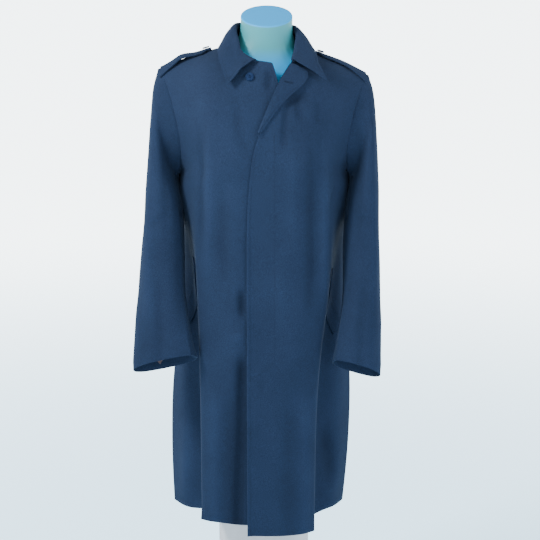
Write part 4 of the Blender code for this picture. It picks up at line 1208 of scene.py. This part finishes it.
def floor_finish():
    """Pale paper floor."""
    # Matt background paper, lit from below: pale blue near the object, nearly white far off.
    made, tree, place = new_material("matt background paper")
    away = add_node(tree, "ShaderNodeVectorMath", {"operation": "LENGTH"}, {0: place})
    far = spread(tree, away.outputs["Value"], 0.3, 6.0, kind="SMOOTHSTEP")
    colour = blend(tree, far, linear("#c0e0f2"), linear("#f2fbfe"))
    surface(tree, Base_Color=colour, Roughness=0.9, Specular_IOR_Level=0.1, Emission_Color=colour,
            Emission_Strength=work_out(tree, "MULTIPLY_ADD", far, FLOOR_FAR - FLOOR_NEAR, FLOOR_NEAR))
    return made


def soft_sky():
    """A pale sky, as bright as the paper where the two meet and softer overhead."""
    sky = bpy.data.worlds.new("pale sky")
    sky.use_nodes = True
    tree = sky.node_tree
    tree.nodes.clear()
    place = add_node(tree, "ShaderNodeTexCoord")
    apart = add_node(tree, "ShaderNodeSeparateXYZ", None, {"Vector": place.outputs["Generated"]})
    strength = spread(tree, apart.outputs["Z"], 0.02, 0.38, SKY_LOW, SKY_HIGH, kind="SMOOTHSTEP")
    glow = add_node(tree, "ShaderNodeBackground", None, {"Color": linear("#eef9ff"), "Strength": strength})
    add_node(tree, "ShaderNodeOutputWorld", None, {"Surface": glow.outputs["Background"]})
    return sky


def hang_light(light):
    """Hang one soft light, aimed at its place on the coat."""
    bpy.ops.object.light_add(type="AREA", location=light.place)
    obj = bpy.context.object
    obj.name = light.name
    obj.rotation_euler = (Vector(light.aim) - Vector(light.place)).to_track_quat("-Z", "Y").to_euler()
    obj.data.size = light.size
    obj.data.energy = light.power
    obj.data.color = linear(light.colour)[:3]


class COAT_OT_stage(bpy.types.Operator):
    """Lay the pale floor, hang the soft lights and set the camera"""
    bl_idname = "coat.stage"
    bl_label = "Stage"

    def execute(self, context):
        bpy.ops.object.select_all(action="DESELECT")
        bpy.ops.mesh.primitive_plane_add(size=500, location=(0, 0, -0.0005))
        floor = bpy.context.object
        floor.name = "floor"
        bpy.ops.object.transform_apply(location=True, rotation=True, scale=True)
        floor.data.materials.append(floor_finish())
        for light in LIGHTS:
            hang_light(light)
        context.scene.world = soft_sky()
        bpy.ops.object.camera_add(location=CAMERA_PLACE, rotation=(math.pi / 2 - CAMERA_DOWN, 0.0, 0.0))
        camera = bpy.context.object
        camera.name = "camera"
        camera.data.sensor_width = CAMERA_SENSOR
        camera.data.lens = CAMERA_LENS
        context.scene.camera = camera
        return {"FINISHED"}


# ---------------------------------------------------------------- panel and main
OPERATORS = (COAT_OT_fronts, COAT_OT_back, COAT_OT_sleeves, COAT_OT_lining, COAT_OT_collar,
             COAT_OT_turned_corner, COAT_OT_trims, COAT_OT_topstitching, COAT_OT_buttonhole,
             COAT_OT_buttons, COAT_OT_dress_form, COAT_OT_pedestal, COAT_OT_stage)


class COAT_PT_panel(bpy.types.Panel):
    """The coat's sizes, colours and pieces"""
    bl_idname = "COAT_PT_panel"
    bl_label = "Overcoat"
    bl_space_type = "VIEW_3D"
    bl_region_type = "UI"
    bl_category = "Overcoat"

    def draw(self, context):
        for name in CoatLooks.__annotations__:
            self.layout.prop(context.scene.coat_looks, name)
        for operator in OPERATORS:
            self.layout.operator(operator.bl_idname)


CLASSES = (CoatLooks,) + OPERATORS + (COAT_PT_panel,)


def register():
    """Register the add-on."""
    for made in CLASSES:
        bpy.utils.register_class(made)
    bpy.types.Scene.coat_looks = bpy.props.PointerProperty(type=CoatLooks)


def unregister():
    """Remove the add-on."""
    del bpy.types.Scene.coat_looks
    for made in reversed(CLASSES):
        bpy.utils.unregister_class(made)


def main():
    """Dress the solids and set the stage."""
    register()
    for operator in OPERATORS:
        group, name = operator.bl_idname.split(".")
        getattr(getattr(bpy.ops, group), name)()


if __name__ == "__main__":
    main()
